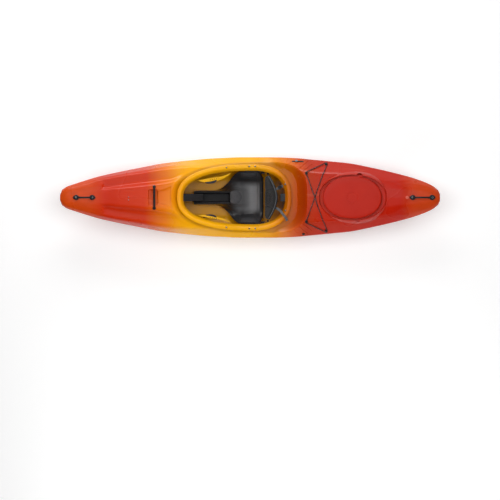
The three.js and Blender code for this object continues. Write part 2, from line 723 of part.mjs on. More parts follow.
// Upright solids over an oval, placed by the hatch's own tilted frame
const hatchX = station(hatch.stationShare);
const hatchPlace = moved(hatchX, 0, hatch.heightShare * hullDepth).multiply(
  new THREE.Matrix4().makeRotationY(-hatch.tiltShare),
);
const ovalSteps = 28;
const ovalPower = 2.15;
function ovalLoft(levels) {
  return loft(
    levels.map(([inset, z]) =>
      oval(hatch.length / 2 - inset, hatch.width / 2 - inset, ovalSteps, ovalPower).map(([x, y]) => {
        const spread = inset < 0 ? -inset / hatch.rimAcross : 0;
        const wide = 1 + (spread * (hatch.rimAlong - hatch.rimAcross)) / (hatch.length / 2);
        return vec(x * wide, y, z).applyMatrix4(hatchPlace);
      }),
    ),
  );
}
const grooveFloor = -hatch.groove;
const neckInset = hatch.skirtWall + runGap;
const hatchBoss = ovalLoft([
  [-hatch.rimAcross - hatch.rimWall - hatch.flare, -hatch.boss],
  [-hatch.rimAcross - hatch.rimWall, -hatch.rimWall],
  [-hatch.rimAcross - hatch.rimWall / 2, hatch.rimRise],
]);
const hatchGroove = ovalLoft([
  [-hatch.rimAcross, grooveFloor],
  [-hatch.rimAcross, overrun],
]);
const hatchTray = (grow) =>
  ovalLoft([
    [-hatch.rimAcross - wall - grow, grooveFloor - wall - grow],
    [-hatch.rimAcross - wall - grow, overrun],
  ]);
const hatchNeck = ovalLoft([
  [neckInset, grooveFloor - wall / 2],
  [neckInset, -hatch.neckTop],
]);
const hatchMouth = ovalLoft([
  [neckInset + hatch.neckWall, -hatch.boss - overrun],
  [neckInset + hatch.neckWall, overrun],
]);
const notches = [
  [1, 1],
  [0.86, -1],
].map(([along, side]) => {
  const x = along * hatch.notchShareX * (hatch.length / 2);
  const place = within(hatchPlace, x, (side * hatch.width) / 2, 0);
  return prism(oval(hatch.notch, hatch.notch, 14), grooveFloor, overrun, place);
});

// The recess under the deck bar
const barX = station(deckBar.stationShare);
const barRecess = (grow) => {
  const floor = hullDepth - deckBar.deep - grow;
  const height = hullDepth + overrun - floor;
  const plan = oval(deckBar.recess / 2 + grow, deckBar.recessHalf + grow, 28, 6);
  return prism(plan, 0, height, moved(barX - deckBar.radius, 0, floor));
};

// The skeg's outline about its pivot, and the trunk that it folds up into
const skegShares = [
  // aft of the pivot and up from it, as shares of the chord
  [-0.018, -0.035],
  [0.936, -0.037],
  [0.98, 0.01],
  [1, 0.08],
  [0.985, 0.112],
  [0.939, 0.138],
  [0.765, 0.205],
  [0.612, 0.232],
  [0.398, 0.214],
  [0.184, 0.138],
  [0.046, 0.061],
  [-0.02, 0.036],
  [-0.042, 0.002],
];
const skegRetractDegrees = 19;
const skegPivot = vec(station(skegPivotShares[0]), 0, skegPivotShares[1] * hullDepth);
function skegOutline(degreesDown, shares) {
  const angle = THREE.MathUtils.degToRad(degreesDown);
  return shares.map(([u, v]) => [
    skegPivot.x + skegChord * (u * Math.cos(angle) + v * Math.sin(angle)),
    skegPivot.z + skegChord * (v * Math.cos(angle) - u * Math.sin(angle)),
  ]);
}
function trunkOutline(room) {
  const roof = skegOutline(skeg.dropDegrees - skegRetractDegrees, skegShares.slice(3)).reverse();
  const fore = skegPivot.x - skeg.slotFore - room;
  const aft = skegPivot.x + skeg.slotAft + room;
  const [, tipZ] = roof[roof.length - 1];
  const top = roof.map(([x, z]) => [Math.max(x - room / 2, fore), z + room]);
  return [[fore, -overrun], [fore, roof[0][1]], ...top.slice(1), [aft, tipZ + room], [aft, -overrun]];
}
const trunkInside = plateXZ(trunkOutline(skeg.trunkRoom), 0, skeg.trunkInside);

// The slider's place on the starboard shoulder
const sliderPlace = deckFrame(station(slider.stationShare), slider.breadthShare * halfBeam);
const trackBlock = { length: track.length - 4 * track.slotEnd, depth: track.thick + 4 * track.deep };
function trackSolid(grow) {
  const plate = boxAt(track.length + 2 * grow, track.width + 2 * grow, track.thick + grow, sliderPlace);
  const block = boxAt(
    trackBlock.length + 2 * grow,
    track.width - track.thick / 2 + 2 * grow,
    trackBlock.depth,
    within(sliderPlace, 0, 0, -trackBlock.depth / 2),
  );
  return joined(plate, block);
}

// Drain, and the holes for the foot rails' bolts
const drainPlace = deckFrame(station(drain.stationShare), 0);
const railEnds = [
  ["fore", footRail.foreShare, footRail.foreHeightShare],
  ["aft", footRail.aftShare, footRail.aftHeightShare],
];
const railFrames = Object.fromEntries(
  sides.map(([name, side]) => [
    name,
    railEnds.map(([, share, heightShare]) => sideFrame(station(share), heightShare * hullDepth, side)),
  ]),
);
const along = (frame, distance) => frame.origin.clone().addScaledVector(frame.out, distance);

function upright(x, y, radius, low, high) {
  return rod(radius, vec(x, y, low), vec(x, y, high));
}
const boltPlaces = [];
for (const [name, side] of sides) {
  seatBoltShares.forEach((share, i) => {
    boltPlaces.push([`seat_bolt_${name}_${["fore", "aft"][i]}`, station(share), side * boltBreadth(share)]);
  });
  boltPlaces.push([`thigh_brace_bolt_${name}`, station(braceBoltShare), side * boltBreadth(braceBoltShare)]);
  boltPlaces.push([`backband_bolt_${name}`, station(bandBoltShare), side * bandBoltBreadth]);
}

// The hull in one moulding
const insides = cut(cavity, hatchTray(0), barRecess(wall));
const boltSeat = (x) => bowlFloor(x) + coamingRise * 0.94;
const boltHoles = boltPlaces.flatMap(([, x, y]) => [
  upright(x, y, bolt.shank + seatGap, hullDepth / 3, hullDepth + overrun),
  upright(x, y, bolt.head + runGap, boltSeat(x), hullDepth + overrun),
]);
const railHoles = sides.flatMap(([name]) =>
  railFrames[name].map((frame) => rod(bolt.shank + seatGap, along(frame, -overrun), along(frame, overrun))),
);
const opening = prism(
  cockpitAngles.map((angle) => rimPoint(angle, coamingReach / 4)),
  hullDepth / 3,
  hullDepth + overrun,
);
const drainHole = turned(
  [[0, -overrun], [drain.stem + runGap, -overrun], [drain.stem + runGap, overrun], [0, overrun]],
  16,
  drainPlace,
);
const outside = joined(outerHull, hatchBoss);
const skin = cut(outside, insides, bowlSolid(0), hatchGroove, ...notches, barRecess(0), opening);
const fitted = joined(skin, hatchNeck, coamingSolid(0), ...coamingBosses());
const hullShell = cut(
  fitted,
  hatchMouth,
  trunkInside,
  trackSolid(seatGap),
  drainHole,
  ...boltHoles,
  ...railHoles,
);
add("hull_shell", hullShell, finish.hull);

// The space inside the hull, with a fitting gap to every wall
const insideHull = cut(
  hullSolid(innerStations, wall + seatGap, 2),
  bowlSolid(wall + 4 * seatGap),
  coamingSolid(seatGap),
  hatchTray(seatGap),
  barRecess(wall + seatGap),
);

// The control tube from the slider to the skeg's trunk, through the bulkhead
function tubeAlong(points, radius, steps, around) {
  const section = oval(radius, radius, around).map(([x, y]) => new THREE.Vector2(x, y));
  const extrudePath = new THREE.CatmullRomCurve3(points);
  const settings = { steps, extrudePath, bevelEnabled: false };
  return solidOf(new THREE.ExtrudeGeometry(new THREE.Shape(section), settings));
}
const trackEnd = vec(trackBlock.length / 2 + seatGap, 0, -track.thick * 3.5).applyMatrix4(sliderPlace);
const trunkSide = inHull([0.8154, 0, 0.317]).setY(skeg.trunkInside / 2 + skeg.trunkWall + seatGap);
const tubeShares = [
  [0.6541, 0.8062, 0.532],
  [0.6836, 0.7262, 0.4808],
  [0.7164, 0.6154, 0.4399],
  [0.7492, 0.4615, 0.4041],
  [0.7787, 0.3015, 0.3683],
  [0.8033, 0.2031, 0.3376],
  [0.8141, 0.1354, 0.3223],
  [0.8154, 0.08, 0.3171],
];
const tubePoints = [
  trackEnd,
  vec(trackBlock.length / 2 + 5 * track.slotEnd / 2, 0, -track.thick * 3.5).applyMatrix4(sliderPlace),
  ...tubeShares.map(inHull),
  trunkSide,
];
const tubeSolid = (radius) => tubeAlong(tubePoints, radius, 30, 8);

// Foam pillars and the bulkhead behind the cockpit
function standing(name, outline, thick, ...openings) {
  add(name, cut(shared(plateXZ(outline, 0, thick), insideHull), ...openings), finish.foam);
}
const pillarStep = station(pillar.bowStepShare);
const tongueFore = station(seat.foreShare) - 2 * seatGap;
const tongueTop = seat.height * 0.17 + seatGap;
standing(
  "bow_pillar",
  [
    [station(pillar.bowForeShare), 0],
    [tongueFore, 0],
    [tongueFore, tongueTop],
    [station(pillar.bowAftShare), tongueTop],
    [station(pillar.bowAftShare), hullDepth * 0.36],
    [pillarStep, hullDepth * 0.78],
    [pillarStep, hullDepth],
    [station(pillar.bowForeShare), hullDepth],
  ],
  pillar.bowThick,
);
const [sternPillarFore, sternPillarAft] = sternPillarShares.map(station);
standing(
  "stern_pillar",
  [
    [sternPillarFore, 0],
    [sternPillarAft, 0],
    [sternPillarAft, hullDepth],
    [sternPillarFore, hullDepth],
  ],
  pillar.sternThick,
);
const [bulkheadFore, bulkheadAft] = bulkheadShares.map(station);
const bulkheadPlan = boxAt(
  bulkheadAft - bulkheadFore,
  hullBeam,
  hullDepth,
  moved((bulkheadFore + bulkheadAft) / 2, 0, hullDepth / 2),
);
add("rear_bulkhead", cut(shared(bulkheadPlan, insideHull), tubeSolid(tubeRadius + seatGap)), finish.foam);

// The seat: a moulded sheet with a channelled tongue ahead, a pommel, thigh troughs and high sides
const seatRows = [
  // along the seat, half width, then heights: channel, rail, three between, side; all shares
  [0, 0.25, 0.14, 0.41, 0.33, 0.25, 0.18, 0.1],
  [0.145, 0.25, 0.14, 0.42, 0.34, 0.25, 0.17, 0.09],
  [0.319, 0.26, 0.15, 0.44, 0.36, 0.27, 0.18, 0.1],
  [0.406, 0.35, 0.16, 0.46, 0.38, 0.3, 0.24, 0.2],
  [0.464, 0.48, 0.17, 0.47, 0.39, 0.31, 0.26, 0.24],
  [0.514, 0.63, 0.18, 0.48, 0.4, 0.32, 0.28, 0.3],
  [0.53, 0.69, 0.45, 0.48, 0.4, 0.32, 0.29, 0.33],
  [0.594, 0.9, 0.49, 0.46, 0.35, 0.29, 0.38, 0.62],
  [0.667, 1, 0.42, 0.38, 0.28, 0.28, 0.5, 0.98],
  [0.739, 1, 0.27, 0.24, 0.2, 0.23, 0.52, 1.12],
  [0.826, 1, 0.22, 0.2, 0.18, 0.23, 0.54, 1.1],
  [0.913, 1, 0.29, 0.28, 0.26, 0.31, 0.56, 1.07],
  [0.949, 0.98, 0.44, 0.44, 0.43, 0.46, 0.62, 1],
  [0.986, 0.8, 0.49, 0.48, 0.47, 0.47, 0.5, 0.54],
  [1, 0.77, 0.45, 0.44, 0.43, 0.43, 0.46, 0.48],
];
const seatFore = station(seat.foreShare);
const seatAft = station(seat.aftShare);
function seatColumns(row) {
  const [along, widthShare, channel, rail, ...sides] = row;
  const x = lerp(seatFore, seatAft, along);
  const half = (widthShare * seat.width) / 2;
  const near = [
    [0, channel],
    [seat.channel / 2, channel],
    [seat.channel, channel],
    [seat.channel + seat.lip, rail],
    [seat.rail, rail],
  ];
  const far = sides.map((share, i) => [lerp(seat.rail, half, (i + 1) / sides.length), share]);
  const starboard = [...near, ...far].map(([y, share]) => vec(x, y, share * seat.height));
  const port = starboard.slice(1).map((point) => vec(point.x, -point.y, point.z));
  return [...port.reverse(), ...starboard];
}
const seatGrid = seatRows.map(seatColumns);
const seatSheet = (under, over) => shellOf(seatGrid, -seat.skin - under, over);
const seatTabs = sides.flatMap(([, side]) => {
  const middle = station((seatBoltShares[0] + seatBoltShares[1]) / 2);
  const drop = bowlFloor(middle + seatTab.length / 2) - bowlFloor(middle - seatTab.length / 2);
  const slope = new THREE.Matrix4().makeRotationY(-Math.atan2(drop, seatTab.length));
  const inner = ear.breadth - ear.thick / 2;
  const outer = edgeBreadth(middle) + sideBoltReachShare * coamingReach + bolt.head + wall;
  const z = bowlFloor(middle) - wall - seat.skin - seatTab.rise / 6;
  const place = moved(middle, (side * (inner + outer)) / 2, z).multiply(slope);
  const tab = boxAt(seatTab.length, outer - inner, seat.skin, place);
  const flankPlace = moved(
    seatAft - ear.length / 12,
    side * (ear.breadth + ear.thick / 2),
    (ear.high + ear.low) / 2,
  );
  const flank = boxAt(ear.length, ear.thick, ear.high - ear.low, flankPlace);
  return [tab, flank];
});
const ratchetX = seatAft - ratchet.pin;
const ratchetRooms = sides.map(([, side]) => {
  const depth = ratchet.wall / 2 + ratchet.depth + 3 * seatGap;
  const place = moved(ratchetX, side * (ear.breadth - depth / 2), ladder.height);
  return boxAt(ratchet.length + 2 * seatGap, depth, ratchet.width + 2 * seatGap, place);
});
const seatShanks = boltPlaces.map(([, x, y]) => upright(x, y, bolt.shank + seatGap, 0, hullDepth));
const seatWhole = joined(cut(seatSheet(0, 0), ...ratchetRooms), ...seatTabs);
add("seat_pan", shared(cut(seatWhole, ...seatShanks), insideHull), finish.seat);

// Pads on the seat's sides
const between = (a, b, t) => a.clone().lerp(b, t);
for (const [name, side] of sides) {
  const rows = seatGrid.slice(8, 12);
  const columns = side > 0 ? [15, 16] : [1, 0];
  const grid = rows.map((row) =>
    [0.05, 0.2, 0.5, 0.72, 0.82].map((t) => between(row[columns[0]], row[columns[1]], t)),
  );
  const rise = (t) => Math.sin(Math.PI * t) ** 0.5;
  const crown = (u, v) => hipPad.thick * (0.45 + 0.55 * rise(u) * rise(v));
  const pad = shellOf(side > 0 ? grid : grid.map((row) => [...row].reverse()), -seat.skin / 2, crown);
  add(`hip_pad_${name}`, cut(pad, seatSheet(seatGap, seatGap)), finish.cloth);
}

// Thigh braces: hooks that reach into the opening from under the deck, one set a notch further in
const braceReachShares = [0.1, 0.62, 0.9, 1, 0.97, 0.86, 0.56, 0.1];
const braceFore = station(brace.foreShare);
const braceAft = station(brace.aftShare);
function braceGrid(side, reach) {
  return braceReachShares.map((share, i) => {
    const x = lerp(braceFore, braceAft, i / (braceReachShares.length - 1));
    const edge = edgeBreadth(x);
    const top = bowlFloor(x) - wall - seatGap;
    const inner = edge - reach * share;
    const row = [
      [edge + brace.outboard, 0],
      [edge + brace.outboard / 2, 0],
      [edge, 0],
      [lerp(edge, inner, 0.5), brace.curl * 0.12 * share],
      [lerp(edge, inner, 0.85), brace.curl * 0.4 * share],
      [inner, brace.curl * share],
    ].map(([y, down]) => vec(x, side * y, top - down));
    return side > 0 ? row.reverse() : row;
  });
}
for (const [name, side] of sides) {
  const grid = braceGrid(side, brace[name]);
  const sheet = shellOf(grid, -brace.skin, 0);
  const holeY = side * boltBreadth(braceBoltShare);
  const hole = upright(station(braceBoltShare), holeY, bolt.shank + seatGap, 0, hullDepth);
  const hook = shared(cut(sheet, hole), insideHull);
  add(`thigh_brace_${name}`, hook, finish.brace);
  const room = 2 * seatGap;
  const hookRoom = [
    [0, 0, -room],
    [0, room, 0],
    [0, -room, 0],
    [0, 0, 0],
  ].map((shift) => solidOf(geometryOf(hook), moved(...shift)));
  const x = station(bracePad.stationShare);
  const y = edgeBreadth(x) - brace[name] + bracePad.halfWidth * 0.62;
  const z = bowlFloor(x) - wall - brace.curl - brace.skin;
  const slope = Math.atan2(bowlFloor(x + probe) - bowlFloor(x - probe), 2 * probe);
  const place = moved(x, side * y, z).multiply(new THREE.Matrix4().makeRotationY(-slope));
  const plan = (scale) => oval(bracePad.halfLength * scale, bracePad.halfWidth * scale, 18, 2.2);
  const levels = [
    [0.82, -bracePad.thick],
    [1, -bracePad.thick * 0.6],
    [1, bracePad.thick * 0.2],
    [0.94, bracePad.thick],
  ];
  const ring = ([scale, height]) => plan(scale).map(([px, py]) => vec(px, py, height).applyMatrix4(place));
  const pad = loft(levels.map(ring));
  const above = shellOf(grid, -brace.skin - 6 * seatGap, bracePad.thick * 3);
  add(`thigh_pad_${name}`, shared(cut(pad, above, ...hookRoom), insideHull), finish.foam);
}

// Bolts with a low round head; what they pass through is cut to fit them
function addBolt(name, x, y, seatZ, bottomZ) {
  const profile = [
    [0, bottomZ],
    [bolt.shank, bottomZ],
    [bolt.shank, seatZ],
    [bolt.head, seatZ],
    [bolt.head, seatZ + bolt.headHeight * 0.4],
    [bolt.head * 0.6, seatZ + bolt.headHeight],
    [0, seatZ + bolt.headHeight],
  ];
  add(name, turned(profile, 8, moved(x, y, 0)), finish.steel);
}
for (const [name, x, y] of boltPlaces) {
  const floor = bowlFloor(x);
  addBolt(name, x, y, boltSeat(x) + seatGap, floor - wall - seat.skin - bolt.down);
}

// Foot rails, their bolts through the sides, and the pegs that slide on them
for (const [name, side] of sides) {
  const [fore, aft] = railFrames[name];
  const standoff = wall + footRail.thick * 1.4;
  const from = along(fore, -standoff);
  const to = along(aft, -standoff);
  const direction = to.clone().sub(from).normalize();
  const out = fore.out.clone().add(aft.out).normalize();
  const across = direction.clone().cross(out).normalize().multiplyScalar(side);
  const railPlace = (share) => {
    const place = new THREE.Matrix4().makeBasis(direction, across, direction.clone().cross(across));
    return place.setPosition(from.clone().lerp(to, share));
  };
  const length = from.distanceTo(to);
  const bar = boxAt(length + 2 * footRail.width, footRail.width, footRail.thick, railPlace(0.5));
  const foot = (frame) => rod(footRail.width * 0.4, along(frame, -standoff), along(frame, wall));
  const feet = [fore, aft].map(foot);
  const hole = (frame) => rod(bolt.shank + seatGap, along(frame, -overrun * 2), along(frame, overrun));
  const holes = [fore, aft].map(hole);
  add(`foot_rail_${name}`, cut(shared(joined(bar, ...feet), insideHull), ...holes), finish.black);
  [fore, aft].forEach((frame, i) => {
    const shank = rod(bolt.shank, along(frame, -standoff), along(frame, bolt.headHeight / 2));
    const button = rod(bolt.head, along(frame, -bolt.headHeight), along(frame, bolt.headHeight), 10);
    const head = cut(button, clearOfHull);
    add(`foot_rail_bolt_${name}_${["fore", "aft"][i]}`, joined(shank, head), finish.steel);
  });

  const pegShare = (station(footPeg.stationShare) - fore.origin.x) / (aft.origin.x - fore.origin.x);
  const place = railPlace(pegShare);
  const inward = vec(0, 0, 1).transformDirection(place).dot(out) > 0 ? -1 : 1;
  const sleeve = cut(
    boxAt(footRail.width * 2, footRail.width + 2 * footPeg.thick, footRail.thick + footPeg.thick, place),
    boxAt(length, footRail.width + 2 * runGap, footRail.thick + 2 * runGap, place),
  );
  const pedalX = footRail.width - footPeg.thick / 2;
  const pedalZ = inward * (footRail.thick / 2 + runGap + footPeg.width / 2);
  const pedalPlace = within(place, pedalX, -footPeg.drop, pedalZ);
  const pedal = boxAt(footPeg.thick, footPeg.height, footPeg.width, pedalPlace);
  const pivotX = pedalX - footPeg.thick / 2 - footPeg.triggerWidth / 2;
  const ears = [-1, 1].map((end) => {
    const earZ = pedalZ + (end * (footPeg.triggerWidth + footPeg.ear)) / 2;
    const earPlace = within(place, pivotX, -footPeg.drop, earZ);
    return boxAt(footPeg.triggerWidth, footPeg.triggerWidth, footPeg.ear, earPlace);
  });
  const pivot = (radius, halfLength) =>
    rod(
      radius,
      vec(pivotX, -footPeg.drop, pedalZ - halfLength).applyMatrix4(place),
      vec(pivotX, -footPeg.drop, pedalZ + halfLength).applyMatrix4(place),
    );
  const pin = pivot(footPeg.pin, footPeg.triggerWidth / 2);
  add(`foot_peg_${name}`, joined(sleeve, pedal, ...ears, pin), finish.black);
  const lever = boxAt(
    footPeg.pin * 2,
    footPeg.trigger,
    footPeg.triggerWidth - 2 * runGap,
    within(place, pivotX, -footPeg.drop - footPeg.trigger / 2, pedalZ),
  );
  const eye = pivot(footPeg.pin * 2.2, footPeg.triggerWidth / 2 - runGap);
  const bore = pivot(footPeg.pin + runGap / 2, footPeg.triggerWidth);
  add(`foot_peg_trigger_${name}`, cut(joined(eye, lever), bore), finish.black);
}

// Grab handles: a strap arched between two moulded feet
const handleReach = (t) => 1 - Math.abs(2 * t - 1) ** 2.6;
function addHandle(name, shares, rise) {
  const [fore, aft] = shares.map(station);
  const steps = 12;
  const line = Array.from({ length: steps + 1 }, (_, i) => {
    const t = i / steps;
    const x = lerp(fore, aft, t);
    return [x, lerp(deckHeight(fore, 0), deckHeight(aft, 0), t) + handle.capHeight / 2 + rise * handleReach(t)];
  });
  const under = line.map(([x, z]) => [x, z - handle.thick]);
  const strap = plateXZ([...under, ...line.reverse()], 0, handle.width);
  const caps = [fore, aft].map((x) => {
    const place = deckFrame(x, 0);
    const top = oval((handle.capLength / 2) * 0.86, (handle.capWidth / 2) * 0.86, 18, 2.2);
    const foot = oval(handle.capLength / 2, handle.capWidth / 2, 18, 2.2);
    const levels = [
      [foot, -handle.capHeight],
      [foot, handle.capHeight * 0.45],
      [top, handle.capHeight],
    ];
    return loft(levels.map(([plan, z]) => plan.map(([px, py]) => vec(px, py, z).applyMatrix4(place))));
  });
  add(name, cut(joined(strap, ...caps), clearOfHull), finish.black);
}
addHandle("bow_handle", bowHandleShares, handle.bowRise);
addHandle("stern_handle", sternHandleShares, handle.sternRise);

// The bar over the recess in the fore deck
const barTop = hullDepth + deckBar.rise;
const barFeet = sides.map(([, side]) =>
  prism(
    oval(deckBar.foot / 2, deckBar.foot / 2, 14, 2.6),
    0,
    deckBar.radius * 3,
    moved(barX, side * deckBar.halfSpan, barTop - deckBar.radius * 3.4),
  ),
);
const barRod = rod(
  deckBar.radius,
  vec(barX, -deckBar.halfSpan, barTop - deckBar.radius),
  vec(barX, deckBar.halfSpan, barTop - deckBar.radius),
  12,
);
add("deck_bar", cut(joined(barRod, ...barFeet), clearOfHull), finish.black);

// Buttons for the bungee, and the plain one on the port shoulder
const buttonTop = bungee.baseHeight + bungee.gap;
const buttonProfile = [
  [0, -bungee.base],
  [bungee.base, -bungee.base],
  [bungee.base, bungee.baseHeight * 0.6],
  [bungee.base * 0.7, bungee.baseHeight],
  [bungee.neck, bungee.baseHeight],
  [bungee.neck, buttonTop],
  [bungee.cap, buttonTop],
  [bungee.cap, buttonTop + bungee.capHeight * 0.5],
  [bungee.cap * 0.5, buttonTop + bungee.capHeight],
  [0, buttonTop + bungee.capHeight],
];
for (const [name, side] of sides) {
  for (const [where, [share, breadth]] of Object.entries(bungeeShares)) {
    const place = deckFrame(station(share), side * breadth * halfBeam);
    add(`bungee_button_${name}_${where}`, cut(turned(buttonProfile, 12, place), clearOfHull), finish.black);
  }
}
const shoulderPlace = deckFrame(
  station(shoulderButton.stationShare),
  -shoulderButton.breadthShare * halfBeam,
);
const shoulderProfile = [
  [0, -shoulderButton.radius],
  [shoulderButton.radius, -shoulderButton.radius],
  [shoulderButton.radius, shoulderButton.height * 0.5],
  [shoulderButton.radius * 0.7, shoulderButton.height],
  [0, shoulderButton.height],
];
add("shoulder_button", cut(turned(shoulderProfile, 14, shoulderPlace), clearOfHull), finish.black);

// Skeg trunk, pin, blade, control tube and slider
const trunkShell = cut(
  plateXZ(trunkOutline(skeg.trunkRoom + skeg.trunkWall), 0, skeg.trunkInside + 2 * skeg.trunkWall),
  trunkInside,
  rod(skeg.pin + seatGap, skegPivot.clone().setY(-hullBeam), skegPivot.clone().setY(hullBeam), 12),
);
add("skeg_trunk", shared(trunkShell, insideHull), finish.black);
const pinHalf = skeg.trunkInside / 2 + skeg.trunkWall;
const skegAxle = (radius, half) => rod(radius, skegPivot.clone().setY(-half), skegPivot.clone().setY(half), 12);
add("skeg_pivot_pin", skegAxle(skeg.pin, pinHalf), finish.steel);
const bladeHole = skegAxle(skeg.pin + runGap, hullBeam);
add(
  "skeg_blade",
  cut(plateXZ(skegOutline(skeg.dropDegrees, skegShares), 0, skeg.thick), bladeHole),
  finish.black,
);

const trackTop = track.thick / 2;
const knobX = station(slider.knobShare) - station(slider.stationShare);
const stemHole = boxAt(
  track.length - 4 * track.slotEnd + track.slot,
  track.slot,
  track.deep * 2 + trackTop,
  within(sliderPlace, 0, 0, trackTop - track.deep),
);
add("skeg_slider_track", cut(trackSolid(0), stemHole), finish.black);
const knobProfile = [
  [0, -track.deep],
  [track.slot / 2 - runGap, -track.deep],
  [track.slot / 2 - runGap, trackTop + runGap],
  [track.knob, trackTop + runGap],
  [track.knob, trackTop + track.knobHeight * 0.7],
  [track.knob * 0.75, trackTop + track.knobHeight],
  [0, trackTop + track.knobHeight],
];
add("skeg_slider_knob", turned(knobProfile, 14, within(sliderPlace, knobX, 0, 0)), finish.black);

add("skeg_control_tube", tubeSolid(tubeRadius), finish.black);

// Hatch cover and its seal
const coverDome = [
  [0, -hatch.skirt],
  [0, -hatch.crown * 0.3],
  [hatch.crown * 0.6, hatch.crown * 0.35],
  [hatch.crown * 4, hatch.crown * 0.8],
];
const coverPocket = ovalLoft([
  [hatch.skirtWall, -hatch.skirt - overrun],
  [hatch.skirtWall, -hatch.plate + hatch.sealHeight],
]);
const badgePlace = within(hatchPlace, 0, 0, hatch.crown - hatch.badgeGroove);
const badgePlan = (scale) => oval(hatch.badge * scale, hatch.badge * scale, 28);
const badgeRing = cut(
  prism(badgePlan(1), 0, overrun, badgePlace),
  prism(badgePlan(0.93), -overrun, overrun * 2, badgePlace),
);
add("hatch_cover", cut(ovalLoft(coverDome), coverPocket, badgeRing), finish.hatch);
const sealLow = -hatch.neckTop + seatGap;
const sealHigh = -hatch.plate + hatch.sealHeight - seatGap;
const sealOuter = ovalLoft([
  [neckInset, sealLow],
  [neckInset, sealHigh],
]);
const sealInner = ovalLoft([
  [neckInset + hatch.neckWall, sealLow - overrun],
  [neckInset + hatch.neckWall, sealHigh + overrun],
]);
add("hatch_seal", cut(sealOuter, sealInner), finish.foam);

// Drain plug
const plugProfile = [
  [0, -drain.stem * 2],
  [drain.stem * 0.8, -drain.stem * 2],
  [drain.stem, -drain.stem],
  [drain.stem, seatGap],
  [drain.radius, seatGap],
  [drain.radius, drain.head * 0.6],
  [drain.radius * 0.7, drain.head],
  [0, drain.head],
];
add("drain_plug", turned(plugProfile, 14, drainPlace), finish.plug);

// Backband: a stiff back, a padded face in three panels, and ladder straps to the ratchets
const bandFore = station(band.foreShare);
const bandHalfShares = [0.16, 0.32, 0.36, 0.4, 0.55, 0.78, 0.94, 1];
const bandAcrossShares = [...bandHalfShares.map((share) => -share).reverse(), 0, ...bandHalfShares];
const bandUpShares = [0, 0.08, 0.3, 0.6, 0.88, 1];
function bandPoint(across, up) {
  const reach = Math.abs(across);
  const top = band.top - band.endDrop * reach ** 2.2;
  const lean = band.lean * (1 - 0.78 * reach ** 1.8);
  const foot = band.foot + band.endDrop * 0.1 * reach;
  return vec(bandFore + lean * up ** 1.1, band.halfWidth * across, lerp(foot, top, up));
}
const bandGrid = (acrossShares) =>
  bandUpShares.map((up) => acrossShares.map((across) => bandPoint(across, up)));
const bandCrown = (u, v) => {
  const across = Math.abs(2 * v - 1);
  const edge = (1 - Math.abs(2 * u - 1) ** 6) * (1 - across ** 8);
  return band.pad * (0.35 + 0.65 * edge ** 0.5);
};
const isSeam = (v) => [5, 11].includes(Math.round(v * (bandAcrossShares.length - 1)));
const bandFace = (u, v) => bandCrown(u, v) * (isSeam(v) ? 0.62 : 1) - band.pad;
add("backband_pad", shellOf(bandGrid(bandAcrossShares), -band.pad, bandFace), finish.cloth);
const shellAcrossShares = bandAcrossShares.map((share) => share * 0.985);
const backShell = shellOf(bandGrid(shellAcrossShares), -band.pad - band.skin - seatGap, -band.pad - seatGap);
add("backband_shell", backShell, finish.black);

// Ratchets on the seat's ears, with levers, and the ladder straps that run through them
for (const [name, side] of sides) {
  const floorY = side * (ear.breadth - seatGap - ratchet.wall / 2);
  const strapY = floorY - side * (ratchet.wall / 2 + runGap + ladder.thick / 2);
  const tip = bandPoint(side, (ladder.height - band.foot) / (band.top - band.endDrop - band.foot));
  const strapFore = ratchetX - ladder.length / 2;
  const strapAft = tip.x + band.pad * 1.5;
  const strap = boxAt(
    strapAft - strapFore,
    ladder.thick,
    ladder.width,
    moved((strapAft + strapFore) / 2, strapY, ladder.height),
  );
  const clipInner = side * (band.halfWidth + band.pad * 0.47);
  const clip = boxAt(
    band.pad * 0.6,
    Math.abs(strapY - clipInner),
    ladder.width,
    moved(strapAft - band.pad * 0.3, (strapY + clipInner) / 2, ladder.height),
  );
  add(`ladder_strap_${name}`, joined(strap, clip), finish.strap);

  const floor = boxAt(ratchet.length, ratchet.wall, ratchet.width, moved(ratchetX, floorY, ladder.height));
  const flanges = [-1, 1].map((end) => {
    const z = ladder.height + (end * (ratchet.width - ratchet.wall)) / 2;
    const place = moved(ratchetX, floorY - (side * ratchet.depth) / 2, z);
    return boxAt(ratchet.length, ratchet.depth, ratchet.wall, place);
  });
  const pivotX = ratchetX + ratchet.length / 2 - ratchet.eye;
  const pivotY = strapY - side * (ladder.thick / 2 + runGap + ratchet.eye);
  const half = ratchet.width / 2 - ratchet.wall;
  const round = (radius, reach) =>
    upright(pivotX, pivotY, radius, ladder.height - reach, ladder.height + reach);
  add(`ratchet_${name}`, joined(floor, ...flanges, round(ratchet.pin, half)), finish.black);
  const arm = boxAt(
    ratchet.lever,
    ratchet.leverThick,
    2 * (half - runGap),
    moved(pivotX - ratchet.lever / 2, pivotY - side * (ratchet.eye - ratchet.leverThick / 2), ladder.height),
  );
  const bore = round(ratchet.pin + runGap / 2, ratchet.width);
  const lever = cut(joined(round(ratchet.eye, half - runGap), arm), bore);
  add(`ratchet_lever_${name}`, lever, finish.black);
}

